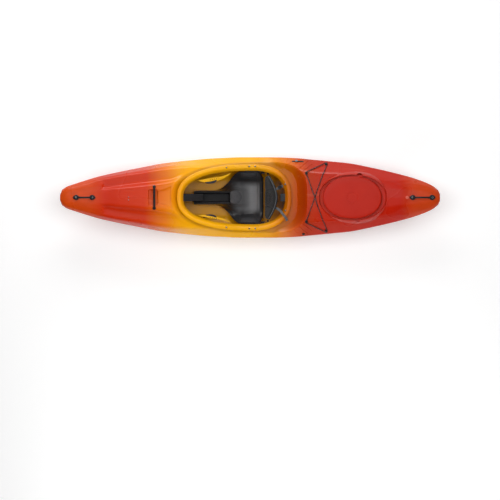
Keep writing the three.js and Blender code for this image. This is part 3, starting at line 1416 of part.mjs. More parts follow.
// Grey straps from the backband to the bolts behind it; the port one's loose end lies over the coaming
function webbingAlong(points) {
  const rows = points.map((point, i) => {
    const next = points[Math.min(i + 1, points.length - 1)];
    const last = points[Math.max(i - 1, 0)];
    const across = next.clone().sub(last).cross(vec(0, 0, 1)).normalize().multiplyScalar(webbing.width / 2);
    return [point.clone().sub(across), point.clone().add(across)];
  });
  return shellOf(rows, 0, webbing.thick);
}
const bandSpace = shellOf(bandGrid(bandAcrossShares), -band.pad - band.skin - 2 * seatGap, 0);
const boundShares = [
  [0.5597, 0.1662, 0.6445],
  [0.5787, 0.2523, 0.5882],
  [0.5908, 0.3138, 0.5524],
  [0.5961, 0.3415, 0.5499],
];
const boundStrap = webbingAlong(boundShares.map(inHull));
const strapHole = upright(station(bandBoltShare), bandBoltBreadth, bolt.shank + seatGap, 0, hullDepth);
add("rear_strap_starboard", cut(boundStrap, strapHole, bandSpace), finish.strap);
const looseShares = [
  [0.5584, -0.2215, 0.624],
  [0.5774, -0.3077, 0.6854],
  [0.5859, -0.4062, 0.7008],
  [0.5931, -0.4923, 0.6854],
  [0.598, -0.5754, 0.624],
];
const looseStrap = webbingAlong(looseShares.map(inHull));
add("rear_strap_port", cut(looseStrap, bandSpace, coamingSolid(seatGap)), finish.strap);

// The bungee: one closed cord, round the four buttons and crossing itself over the middle
const cordShares = [
  // station, share of the half beam, share of the depth
  [0.67082, 0, 0.88465],
  [0.6659, 0.12615, 0.87366],
  [0.66131, 0.24308, 0.8578],
  [0.65705, 0.36308, 0.84629],
  [0.65246, 0.48, 0.83376],
  [0.66131, 0.68923, 0.78056],
  [0.67279, 0.74154, 0.73708],
  [0.68426, 0.79077, 0.69361],
  [0.69967, 0.74462, 0.71995],
  [0.69672, 0.66769, 0.78056],
  [0.6941, 0.61538, 0.81688],
  [0.6918, 0.57538, 0.83274],
  [0.68754, 0.46154, 0.84348],
  [0.68328, 0.34462, 0.85396],
  [0.67869, 0.22769, 0.86061],
  [0.67443, 0.11077, 0.86445],
];
const cordUnderShares = [0.67082, 0, 0.86598];
// Where the port half lies over or under the starboard one
const portHeightShares = { 1: 0.86087, 2: 0.85448, 3: 0.84604, 13: 0.85422, 14: 0.86368, 15: 0.87519 };
const wrapShares = {
  // the way round a starboard button in the button's own frame, as shares of its cap's radius
  fore: [[0.2, -1.4], [-0.55, -0.65], [-0.84, 0], [-0.5, 0.69], [0.5, 1.2]],
  aft: [[-1.4, 0.4], [-0.3, 0.8], [0.65, 0.59], [0.87, -0.2], [0.5, -1.2]],
};
const cordHeight = bungee.baseHeight + bungee.gap * 0.47;
function roundButton(where, side) {
  const [share, breadth] = bungeeShares[where];
  const place = deckFrame(station(share), side * breadth * halfBeam);
  const wrap = wrapShares[where];
  return wrap.map(([x, y]) => vec(x * bungee.cap, side * y * bungee.cap, cordHeight).applyMatrix4(place));
}
function halfRoute(side) {
  const heights = side < 0 ? portHeightShares : {};
  const stretch = (from, to) =>
    cordShares.slice(from, to).map(([x, y, z], i) => inHull([x, side * y, heights[from + i] ?? z]));
  const [ahead, inside, behind] = [stretch(0, 5), stretch(5, 8), stretch(8)];
  return [...ahead, ...roundButton("fore", side), ...inside, ...roundButton("aft", side), ...behind];
}
const cordRoute = [...halfRoute(1), inHull(cordUnderShares), ...halfRoute(-1).slice(1)];
const cordCurve = new THREE.CatmullRomCurve3(cordRoute, true, "centripetal");
const cordSteps = 68;
const cordRings = Array.from({ length: cordSteps }, (_, i) => {
  const t = i / cordSteps;
  const tangent = cordCurve.getTangent(t);
  const across = tangent.clone().cross(vec(0, 0, 1)).normalize();
  const up = across.clone().cross(tangent);
  const section = oval(bungee.diameter / 2, bungee.diameter / 2, 8);
  return section.map(([a, b]) => cordCurve.getPoint(t).addScaledVector(across, a).addScaledVector(up, b));
});
add("deck_bungee", closedSweep(cordRings), finish.cord);

export default kayak;
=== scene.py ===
import json
import math

import bmesh
import bpy
from mathutils import Matrix, Vector
from mathutils.bvhtree import BVHTree


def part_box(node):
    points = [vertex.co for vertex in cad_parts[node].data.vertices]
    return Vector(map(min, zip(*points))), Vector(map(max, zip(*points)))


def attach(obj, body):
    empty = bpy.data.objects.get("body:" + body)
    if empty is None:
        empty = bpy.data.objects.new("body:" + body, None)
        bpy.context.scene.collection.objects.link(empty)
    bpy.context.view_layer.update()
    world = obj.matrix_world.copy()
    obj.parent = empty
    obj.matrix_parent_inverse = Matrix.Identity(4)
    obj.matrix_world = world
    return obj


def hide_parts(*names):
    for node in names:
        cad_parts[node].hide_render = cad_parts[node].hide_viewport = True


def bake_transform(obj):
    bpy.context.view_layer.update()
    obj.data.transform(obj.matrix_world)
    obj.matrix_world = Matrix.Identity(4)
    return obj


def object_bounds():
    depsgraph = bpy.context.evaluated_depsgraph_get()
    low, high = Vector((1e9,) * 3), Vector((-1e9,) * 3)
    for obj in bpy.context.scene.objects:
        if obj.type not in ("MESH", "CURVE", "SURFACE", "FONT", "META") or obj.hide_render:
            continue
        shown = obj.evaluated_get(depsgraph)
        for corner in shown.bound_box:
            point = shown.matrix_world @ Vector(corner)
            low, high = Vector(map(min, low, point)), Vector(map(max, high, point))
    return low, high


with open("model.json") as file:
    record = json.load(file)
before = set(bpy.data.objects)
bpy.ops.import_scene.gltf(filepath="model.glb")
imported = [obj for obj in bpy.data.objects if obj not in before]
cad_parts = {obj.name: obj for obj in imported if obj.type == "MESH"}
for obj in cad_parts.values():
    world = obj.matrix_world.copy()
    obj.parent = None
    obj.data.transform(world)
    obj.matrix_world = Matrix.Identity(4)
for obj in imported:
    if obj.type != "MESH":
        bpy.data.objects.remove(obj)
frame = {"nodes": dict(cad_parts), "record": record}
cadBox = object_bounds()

scene = bpy.context.scene
nodeBody = {node: body for body, nodes in frame["record"]["behaviour"]["bodies"].items() for node in nodes}
nodeFinish = {part["node"]: part["material_slot"] for part in frame["record"]["subparts"]}
boatSides = (("port", -1), ("starboard", 1))
upward = Vector((0, 0, 1))
print("frame loaded:", len(frame["nodes"]), "nodes")

# camera over the deck, as in the upper picture, which lies above the middle of the photograph
shot = {
    "metresPerPixel": 0.008026,
    "pictureSide": 500,
    "boatRow": 197.5,  # picture row of the boat's middle line
    "height": 5.0,
    "lens": 50,
}
camera = bpy.data.objects.new("camera", bpy.data.cameras.new("camera"))
scene.collection.objects.link(camera)
camera.data.type = "ORTHO"
camera.data.ortho_scale = shot["pictureSide"] * shot["metresPerPixel"]
camera.data.lens = shot["lens"]
camera.location = (0, (shot["boatRow"] - shot["pictureSide"] / 2) * shot["metresPerPixel"], shot["height"])
scene.camera = camera


# nodes for the sky and the materials
def addNode(tree, kind, **values):
    node = tree.nodes.new(kind)
    for socket, value in values.items():
        node.inputs[socket.replace("_", " ")].default_value = value
    return node


def mathNode(tree, operation, first, second):
    node = tree.nodes.new("ShaderNodeMath")
    node.operation = operation
    for i, value in enumerate((first, second)):
        if isinstance(value, (int, float)):
            node.inputs[i].default_value = value
        else:
            tree.links.new(value, node.inputs[i])
    return node.outputs[0]


def rangeNode(tree, value, low, high, start, end, kind="LINEAR"):
    node = addNode(tree, "ShaderNodeMapRange", From_Min=low, From_Max=high, To_Min=start, To_Max=end)
    node.interpolation_type = kind
    tree.links.new(value, node.inputs["Value"])
    return node.outputs["Result"]


def splitNode(tree, vector):
    node = tree.nodes.new("ShaderNodeSeparateXYZ")
    tree.links.new(vector, node.inputs["Vector"])
    return node


# plain studio light: a dim sky that is white along the horizon, a soft key from starboard and fill from above
studio = {
    "zenith": 0.16,
    "horizon": 1.0,
    "band": (0.04, 0.22),  # how high the white band reaches, as the sine of its height
    "portShare": 0.25,  # the band's strength towards port
    "portFade": (-0.3, 0.4),
    "lamps": [
        {"name": "key_starboard", "place": (-0.5, 3.5, 2.1), "size": (3.6, 1.7), "power": 94, "glossy": True},
        {"name": "fill_over", "place": (0, 0.5, 4.4), "size": (4.6, 3.0), "power": 128, "glossy": False},
        {"name": "fill_port", "place": (0.4, -3.6, 1.9), "size": (3.4, 1.6), "power": 76, "glossy": False},
    ],
    "aim": (0, 0, 0.2),
    "floorReach": 40,
    "floorShade": 0.8,
    "floorDrop": 0.0006,  # keeps the floor out of the keel's flat
    "floorGlow": 0.32,
}
world = bpy.data.worlds.new("studio")
scene.world = world
world.use_nodes = True
sky = world.node_tree
skyWay = splitNode(sky, sky.nodes.new("ShaderNodeTexCoord").outputs["Generated"])
skyBand = rangeNode(sky, skyWay.outputs["Z"], *studio["band"], studio["horizon"], studio["zenith"], "SMOOTHSTEP")
skySide = rangeNode(sky, skyWay.outputs["Y"], *studio["portFade"], studio["portShare"], 1)
sky.links.new(mathNode(sky, "MULTIPLY", skyBand, skySide), sky.nodes["Background"].inputs["Strength"])
sky.nodes["Background"].inputs["Color"].default_value = (1, 1, 1, 1)
for lamp in studio["lamps"]:
    light = bpy.data.objects.new(lamp["name"], bpy.data.lights.new(lamp["name"], "AREA"))
    light.data.shape = "RECTANGLE"
    light.data.size, light.data.size_y = lamp["size"]
    light.data.energy = lamp["power"]
    light.location = lamp["place"]
    light.rotation_euler = (Vector(studio["aim"]) - Vector(lamp["place"])).to_track_quat("-Z", "Y").to_euler()
    light.visible_camera = False
    light.visible_glossy = lamp["glossy"]
    scene.collection.objects.link(light)
scene.view_settings.view_transform = "Standard"


# tools that several pieces use
def deselectAll():
    for one in bpy.context.selected_objects:
        one.select_set(False)


def makeActive(piece):
    deselectAll()
    piece.select_set(True)
    bpy.context.view_layer.objects.active = piece


def linked(name, mesh):
    piece = bpy.data.objects.new(name, mesh)
    scene.collection.objects.link(piece)
    return piece


def copied(piece):
    return linked(piece.name, piece.data.copy())


def applyModifiers(piece):
    makeActive(piece)
    for name in [modifier.name for modifier in piece.modifiers]:
        bpy.ops.object.modifier_apply(modifier=name)


def smoothShade(piece, angle):
    makeActive(piece)
    bpy.ops.object.shade_smooth_by_angle(angle=math.radians(angle))


def turnOutwards(piece):
    work = bmesh.new()
    work.from_mesh(piece.data)
    bmesh.ops.remove_doubles(work, verts=work.verts, dist=1e-6)
    bmesh.ops.recalc_face_normals(work, faces=work.faces)
    work.to_mesh(piece.data)
    work.free()


def pieceFrom(name, points, faces, smoothAngle=35):
    mesh = bpy.data.meshes.new(name)
    mesh.from_pydata([tuple(point) for point in points], [], faces)
    mesh.validate()
    piece = linked(name, mesh)
    turnOutwards(piece)
    smoothShade(piece, smoothAngle)
    return piece


def loft(name, rings, closed=False, smoothAngle=35):
    # rings of equal count; open lofts get end caps and closed ones join up
    count = len(rings[0])
    points = [point for ring in rings for point in ring]
    faces = []
    for i in range(len(rings) if closed else len(rings) - 1):
        following = (i + 1) % len(rings)
        for j in range(count):
            k = (j + 1) % count
            faces.append((i * count + j, i * count + k, following * count + k, following * count + j))
    if not closed:
        faces.append(tuple(range(count)))
        faces.append(tuple(range((len(rings) - 1) * count, len(rings) * count)))
    return pieceFrom(name, points, faces, smoothAngle)


def combine(piece, other, operation):
    modifier = piece.modifiers.new("join", "BOOLEAN")
    modifier.object = other
    modifier.operation = operation
    modifier.solver = "EXACT"
    applyModifiers(piece)
    bpy.data.objects.remove(other, do_unlink=True)
    return piece


def cut(piece, other):
    return combine(piece, other, "DIFFERENCE")


def add(piece, other):
    return combine(piece, other, "UNION")


def join(name, pieces):
    makeActive(pieces[0])
    for one in pieces:
        one.select_set(True)
    bpy.ops.object.join()
    pieces[0].name = name
    return pieces[0]


def turns(steps, start=0):
    # angles of a full turn in even steps
    return [(k + start) / steps * 2 * math.pi for k in range(steps)]


def lineLength(line):
    return sum((b - a).length for a, b in zip(line, line[1:]))


def hermite(start, end, leave, arrive, t):
    return (
        start * (1 + t * t * (2 * t - 3))
        + end * (t * t * (3 - 2 * t))
        + leave * (t * (1 - t) ** 2)
        - arrive * (t * t * (1 - t))
    )


# the deck bungee: one closed cord that crosses itself amidships, made first
deckCord = {
    "radius": 0.0033,
    "around": 14,
    "stepLength": 0.006,
    "half": [
        # starboard half of the route, from over the crossing round both buttons and back
        (0.521, 0, 0.3459),
        (0.506, 0.041, 0.3416),
        (0.492, 0.079, 0.3354),
        (0.479, 0.118, 0.3309),
        (0.465, 0.156, 0.326),
        (0.4537, 0.1824, 0.3271),
        (0.4463, 0.1897, 0.3248),
        (0.4435, 0.196, 0.3232),
        (0.4471, 0.2028, 0.3219),
        (0.4571, 0.2077, 0.3216),
        (0.492, 0.224, 0.3052),
        (0.527, 0.241, 0.2882),
        (0.562, 0.257, 0.2712),
        (0.5977, 0.2741, 0.2539),
        (0.6086, 0.2769, 0.2504),
        (0.6181, 0.2754, 0.2514),
        (0.6206, 0.2699, 0.2569),
        (0.6174, 0.2629, 0.2642),
        (0.609, 0.242, 0.2815),
        (0.6, 0.217, 0.3052),
        (0.592, 0.2, 0.3194),
        (0.585, 0.187, 0.3256),
        (0.572, 0.15, 0.3298),
        (0.559, 0.112, 0.3339),
        (0.545, 0.074, 0.3365),
        (0.532, 0.036, 0.338),
    ],
    "under": (0.521, 0, 0.3386),
    "portHeights": {1: 0.3366, 2: 0.3341, 3: 0.3308, 23: 0.334, 24: 0.3377, 25: 0.3422},
}


def roundCurve(points, stepLength):
    # a smooth closed curve through the points, cut into even steps
    made = []
    count = len(points)
    for i in range(count):
        before, start, end, after = (points[(i + k) % count] for k in (-1, 0, 1, 2))
        spans = [max(1e-6, (b - a).length) ** 0.5 for a, b in ((before, start), (start, end), (end, after))]
        leave = (start - before) / spans[0] - (end - before) / (spans[0] + spans[1]) + (end - start) / spans[1]
        arrive = (end - start) / spans[1] - (after - start) / (spans[1] + spans[2]) + (after - end) / spans[2]
        leave, arrive = leave * spans[1], arrive * spans[1]
        steps = max(2, round((end - start).length / stepLength))
        made += [hermite(start, end, leave, arrive, k / steps) for k in range(steps)]
    return made


def tube(name, line, radius, around, closed=False):
    # a round tube along the line
    rings = []
    count = len(line)
    for i, point in enumerate(line):
        after = line[(i + 1) % count if closed else min(i + 1, count - 1)]
        before = line[i - 1 if closed else max(i - 1, 0)]
        tangent = (after - before).normalized()
        across = tangent.cross(upward).normalized()
        over = across.cross(tangent)
        rings.append([point + (across * math.cos(a) + over * math.sin(a)) * radius for a in turns(around)])
    return loft(name, rings, closed=closed, smoothAngle=60)


starboardHalf = [Vector(point) for point in deckCord["half"]]
portHalf = [
    Vector((x, -y, deckCord["portHeights"].get(i, z))) for i, (x, y, z) in enumerate(deckCord["half"])
]
cordLine = roundCurve(starboardHalf + [Vector(deckCord["under"])] + portHalf[1:], deckCord["stepLength"])
cordPiece = tube("bungee_cord", cordLine, deckCord["radius"], deckCord["around"], closed=True)


# finishes: tones are written as they look on a screen
def tone(red, green, blue):
    made = []
    for value in (red, green, blue):
        value /= 255
        made.append(value / 12.92 if value <= 0.04045 else ((value + 0.055) / 1.055) ** 2.4)
    return (*made, 1)


def newGroup(name, values, gives):
    group = bpy.data.node_groups.new(name, "ShaderNodeTree")
    group.interface.new_socket("Vector", in_out="INPUT", socket_type="NodeSocketVector")
    for label in values:
        group.interface.new_socket(label, in_out="INPUT", socket_type="NodeSocketFloat")
    for label in gives:
        group.interface.new_socket(label, in_out="OUTPUT", socket_type="NodeSocketFloat")
    return group, group.nodes.new("NodeGroupInput"), group.nodes.new("NodeGroupOutput")


def makeSkinGroup():
    # moulded plastic: a fine grain, slow patches and a few thin scratches
    labels = ["Grain", "Patches", "Scratches"]
    group, source, result = newGroup("moulded_skin", labels, labels)
    grain = addNode(group, "ShaderNodeTexNoise", Detail=3, Roughness=0.55)
    patches = addNode(group, "ShaderNodeTexNoise", Detail=2, Roughness=0.5)
    for node, label in ((grain, "Grain"), (patches, "Patches")):
        group.links.new(source.outputs["Vector"], node.inputs["Vector"])
        group.links.new(source.outputs[label], node.inputs["Scale"])
        group.links.new(node.outputs["Fac"], result.inputs[label])
    masks = []
    for turn, stretch in ((0.35, (0.05, 1, 1)), (-0.6, (0.06, 1, 1))):
        mapping = addNode(group, "ShaderNodeMapping", Rotation=(0, 0, turn), Scale=stretch)
        group.links.new(source.outputs["Vector"], mapping.inputs["Vector"])
        streaks = addNode(group, "ShaderNodeTexNoise", Detail=2, Roughness=0.4)
        group.links.new(mapping.outputs["Vector"], streaks.inputs["Vector"])
        group.links.new(source.outputs["Scratches"], streaks.inputs["Scale"])
        masks.append(rangeNode(group, streaks.outputs["Fac"], 0.68, 0.76, 0, 1))
    group.links.new(mathNode(group, "MAXIMUM", *masks), result.inputs["Scratches"])
    return group


def makeWeaveGroup():
    # two sets of threads that pass over and under each other
    group, source, result = newGroup("weave", ["Threads Along", "Threads Across"], ["Height", "Shade"])
    split = splitNode(group, source.outputs["Vector"])
    waves = []
    for axis, threads in (("X", "Threads Along"), ("Y", "Threads Across")):
        passed = mathNode(group, "MULTIPLY", split.outputs[axis], source.outputs[threads])
        waves.append(mathNode(group, "SINE", mathNode(group, "MULTIPLY", passed, math.pi), 0))
    crossed = mathNode(group, "MULTIPLY", *waves)
    ribs = mathNode(group, "ABSOLUTE", crossed, 0)
    height = mathNode(group, "ADD", mathNode(group, "MULTIPLY", crossed, 0.5), ribs)
    group.links.new(height, result.inputs["Height"])
    group.links.new(rangeNode(group, height, -0.5, 1.5, 0, 1), result.inputs["Shade"])
    return group


def makeFoamGroup():
    # closed cells with a skin that is worn open in places
    group, source, result = newGroup("foam_cells", ["Cells"], ["Height", "Shade"])
    cells = group.nodes.new("ShaderNodeTexVoronoi")
    mottle = addNode(group, "ShaderNodeTexNoise", Scale=60, Detail=3)
    for node in (cells, mottle):
        group.links.new(source.outputs["Vector"], node.inputs["Vector"])
    group.links.new(source.outputs["Cells"], cells.inputs["Scale"])
    height = mathNode(group, "ADD", cells.outputs["Distance"], mottle.outputs["Fac"])
    group.links.new(height, result.inputs["Height"])
    group.links.new(mottle.outputs["Fac"], result.inputs["Shade"])
    return group


skinGroup = makeSkinGroup()
weaveGroup = makeWeaveGroup()
foamGroup = makeFoamGroup()


def startMaterial(name, shader):
    material = bpy.data.materials.new(name)
    material.use_nodes = True
    tree = material.node_tree
    principled = tree.nodes["Principled BSDF"]
    for socket, value in shader.items():
        principled.inputs[socket].default_value = value
    return material, tree, principled, tree.nodes.new("ShaderNodeTexCoord")


def useGroup(tree, group, vector, **values):
    node = tree.nodes.new("ShaderNodeGroup")
    node.node_tree = group
    tree.links.new(vector, node.inputs["Vector"])
    for socket, value in values.items():
        node.inputs[socket.replace("_", " ")].default_value = value
    return node


def mixTones(tree, factor, first, second):
    node = tree.nodes.new("ShaderNodeMix")
    node.data_type = "RGBA"
    tree.links.new(factor, node.inputs["Factor"])
    for socket, value in (("A", first), ("B", second)):
        target = next(one for one in node.inputs if one.name == socket and one.type == "RGBA")
        if isinstance(value, tuple):
            target.default_value = tone(*value)
        else:
            tree.links.new(value, target)
    return next(one for one in node.outputs if one.type == "RGBA")


def attributeMask(tree, name):
    node = tree.nodes.new("ShaderNodeAttribute")
    node.attribute_name = name
    return node.outputs["Fac"]


def addBump(tree, principled, height, look):
    bump = addNode(tree, "ShaderNodeBump", Strength=look["bump"], Distance=look["bumpDepth"])
    tree.links.new(height, bump.inputs["Height"])
    tree.links.new(bump.outputs["Normal"], principled.inputs["Normal"])


def startSkin(name, look):
    material, tree, principled, coordinates = startMaterial(name, look["shader"])
    values = {label.capitalize(): look[label] for label in ("grain", "patches", "scratches")}
    skin = useGroup(tree, skinGroup, coordinates.outputs["Object"], **values)
    return material, tree, principled, coordinates, skin


def finishSkin(tree, principled, skin, colour, look):
    # scuffs over the colour, then an uneven gloss and the grain
    scuffs = rangeNode(tree, skin.outputs["Scratches"], 0, 1, 0, look["scuffed"])
    tree.links.new(mixTones(tree, scuffs, colour, look["scuffTone"]), principled.inputs["Base Color"])
    gloss = rangeNode(tree, skin.outputs["Patches"], 0.1, 0.9, *look["rough"], "SMOOTHSTEP")
    tree.links.new(gloss, principled.inputs["Roughness"])
    addBump(tree, principled, skin.outputs["Grain"], look)


def plasticMaterial(name, look):
    material, tree, principled, coordinates, skin = startSkin(name, look)
    colour = mixTones(tree, skin.outputs["Patches"], look["tone"], look["paler"])
    # a painted sheen: paler where the piece's attribute says
    if "worn" in look:
        colour = mixTones(tree, attributeMask(tree, "worn"), colour, look["worn"])
    finishSkin(tree, principled, skin, colour, look)
    return material


def gradientMaterial(name, look):
    # the hull's colour changes along the boat, and sunken places get painted shade: a darker copy of that colour
    material, tree, principled, coordinates, skin = startSkin(name, look)
    place = splitNode(tree, coordinates.outputs["Object"]).outputs["X"]
    wander = mathNode(tree, "MULTIPLY", mathNode(tree, "SUBTRACT", skin.outputs["Patches"], 0.5), look["wander"])
    ramp = tree.nodes.new("ShaderNodeValToRGB")
    along = mathNode(tree, "ADD", place, wander)
    tree.links.new(rangeNode(tree, along, cadBox[0].x, cadBox[1].x, 0, 1), ramp.inputs["Fac"])
    stops = ramp.color_ramp.elements
    for i, (share, colour) in enumerate(look["stops"]):
        stop = stops[i] if i < 2 else stops.new(share)
        stop.position, stop.color = share, tone(*colour)
    shadedTone = addNode(tree, "ShaderNodeHueSaturation", Value=look["sunkenValue"])
    tree.links.new(ramp.outputs["Color"], shadedTone.inputs["Color"])
    colour = mixTones(tree, attributeMask(tree, "sunken_shade"), ramp.outputs["Color"], shadedTone.outputs["Color"])
    finishSkin(tree, principled, skin, colour, look)
    return material


def foamMaterial(name, look):
    shader = {"Roughness": look["rough"], "Specular IOR Level": 0.25}
    material, tree, principled, coordinates = startMaterial(name, shader)
    foam = useGroup(tree, foamGroup, coordinates.outputs["Object"], Cells=look["cells"])
    colour = mixTones(tree, foam.outputs["Shade"], look["tone"], look["paler"])
    tree.links.new(colour, principled.inputs["Base Color"])
    addBump(tree, principled, foam.outputs["Height"], look)
    return material


def wovenMaterial(name, look):
    # threads follow the piece's UV map, which is in metres
    material, tree, principled, coordinates = startMaterial(name, look["shader"])
    along, across = look["threads"]
    weave = useGroup(tree, weaveGroup, coordinates.outputs["UV"], Threads_Along=along, Threads_Across=across)
    flecks = addNode(tree, "ShaderNodeTexNoise", Scale=look["flecks"], Detail=1)
    tree.links.new(coordinates.outputs["Object"], flecks.inputs["Vector"])
    base = mixTones(tree, weave.outputs["Shade"], look["tone"], look["paler"])
    fleckMask = rangeNode(tree, flecks.outputs["Fac"], look["fleckFrom"], look["fleckFrom"] + 0.04, 0, 1)
    tree.links.new(mixTones(tree, fleckMask, base, look["fleckTone"]), principled.inputs["Base Color"])
    addBump(tree, principled, weave.outputs["Height"], look)
    return material


moulded = {
    "grain": 900,
    "patches": 9,
    "scratches": 60,
    "scuffed": 0.1,
    "bump": 0.25,
    "bumpDepth": 0.0004,
    "shader": {},
}
looks = {
    "hatch": {
        **moulded,
        "name": "hatch_red",
        "tone": (172, 22, 2),
        "paler": (182, 30, 6),
        "scuffTone": (214, 96, 70),
        "scuffed": 0.05,
        "rough": (0.34, 0.44),
        "shader": {"Specular IOR Level": 0.28},
    },
    "brace": {
        **moulded,
        "name": "brace_yellow",
        "tone": (222, 164, 4),
        "paler": (236, 178, 12),
        "scuffTone": (250, 216, 120),
        "rough": (0.36, 0.5),
        "shader": {"Specular IOR Level": 0.28},
    },
    "seat": {
        **moulded,
        "name": "seat_black",
        "tone": (27, 27, 29),
        "paler": (39, 39, 41),
        # pale tone of the painted sheen on the pan's middle, a painted reflection
        "worn": (134, 134, 136),
        "scuffTone": (120, 120, 122),
        "rough": (0.3, 0.42),
        "grain": 1400,
        "shader": {"Specular IOR Level": 0.62, "Coat Weight": 0.18, "Coat Roughness": 0.3},
    },
    "black_plastic": {
        **moulded,
        "name": "black_plastic",
        "tone": (24, 24, 26),
        "paler": (36, 36, 39),
        "scuffTone": (110, 110, 112),
        "rough": (0.42, 0.58),
        "bump": 0.4,
    },
    "grey_plastic": {
        **moulded,
        "name": "grey_plastic",
        "tone": (104, 116, 130),
        "paler": (122, 132, 146),
        "scuffTone": (190, 196, 204),
        "rough": (0.35, 0.5),
    },
    "plug": {
        **moulded,
        "name": "drain_plug",
        "tone": (206, 92, 74),
        "paler": (216, 108, 90),
        "scuffTone": (240, 180, 170),
        "rough": (0.4, 0.5),
    },
    "steel": {
        **moulded,
        "name": "steel",
        "tone": (196, 198, 202),
        "paler": (216, 218, 222),
        "scuffTone": (150, 152, 156),
        "rough": (0.22, 0.34),
        "bump": 0.1,
        "shader": {"Metallic": 1},
    },
    "seal": {
        "name": "seal_foam",
        "tone": (20, 20, 20),
        "paler": (34, 34, 34),
        "cells": 1400,
        "rough": 0.85,
        "bump": 0.3,
        "bumpDepth": 0.0005,
    },
    "foam": {
        "name": "grey_foam",
        "tone": (46, 46, 48),
        "paler": (64, 64, 67),
        "cells": 900,
        "rough": 0.92,
        "bump": 0.35,
        "bumpDepth": 0.0007,
    },
    "patch": {
        "name": "pommel_foam",
        "tone": (76, 76, 78),
        "paler": (96, 96, 99),
        "cells": 900,
        "rough": 0.8,
        "bump": 0.3,
        "bumpDepth": 0.0006,
    },
    "cord": {
        "name": "cord_braid",
        "shader": {"Roughness": 0.75},
        "threads": (620, 420),
        "tone": (14, 14, 15),
        "paler": (44, 44, 47),
        "flecks": 260,
        "fleckFrom": 0.62,
        "fleckTone": (150, 150, 150),
        "bump": 0.6,
        "bumpDepth": 0.0006,
    },
    "webbing": {
        "name": "webbing",
        "shader": {"Roughness": 0.8, "Sheen Weight": 0.1},
        "threads": (900, 520),
        "tone": (58, 60, 62),
        "paler": (116, 118, 120),
        "flecks": 40,
        "fleckFrom": 0.9,
        "fleckTone": (120, 120, 120),
        "bump": 0.6,
        "bumpDepth": 0.0005,
    },
    "cloth": {
        "name": "seat_cloth",
        "shader": {"Roughness": 0.9, "Sheen Weight": 0.12},
        "threads": (700, 700),
        "tone": (16, 16, 18),
        "paler": (30, 30, 32),
        "flecks": 30,
        "fleckFrom": 0.9,
        "fleckTone": (52, 52, 55),
        "bump": 0.5,
        "bumpDepth": 0.0005,
    },
    "hull": {
        **moulded,
        "name": "hull_gradient",
        "shader": {"Specular IOR Level": 0.36},
        "grain": 700,
        "patches": 2.2,
        "scratches": 38,
        "wander": 0.12,
        # how dark the painted shade in sunken places is
        "sunkenValue": 0.72,
        "scuffed": 0.04,
        "scuffTone": (250, 204, 150),
        "rough": (0.2, 0.34),
        "bump": 0.18,
        "stops": [
            # both ends, then the places between as shares of the length from the bow
            (0.0, (212, 74, 14)),
            (1.0, (204, 66, 16)),
            (0.085, (208, 66, 10)),
            (0.125, (198, 40, 4)),
            (0.225, (202, 50, 4)),
            (0.28, (224, 116, 4)),
            (0.312, (236, 156, 4)),
            (0.345, (242, 170, 4)),
            (0.5, (234, 166, 4)),
            (0.55, (230, 154, 3)),
            (0.595, (212, 112, 2)),
            (0.625, (198, 74, 2)),
            # the fade is the hull's own colour; this stop is also darkened as painted shade on the bowl's rear slope
            (0.652, (172, 44, 2)),
            (0.69, (180, 32, 2)),
            (0.895, (184, 26, 2)),
            (0.935, (198, 58, 12)),
        ],
    },
}
finishes = {}
for finish, look in looks.items():
    if "stops" in look:
        make = gradientMaterial
    elif "threads" in look:
        make = wovenMaterial
    else:
        make = foamMaterial if "cells" in look else plasticMaterial
    finishes[finish] = make(look["name"], look)


def dressPiece(piece, finish, body="boat", node=None, slot=None):
    # its material, the body it rides on, and the node it stands for, which is hidden
    piece.data.materials.clear()
    piece.data.materials.append(finishes[finish])
    slot or finish
    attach(piece, body)
    if node:
        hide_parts(node)


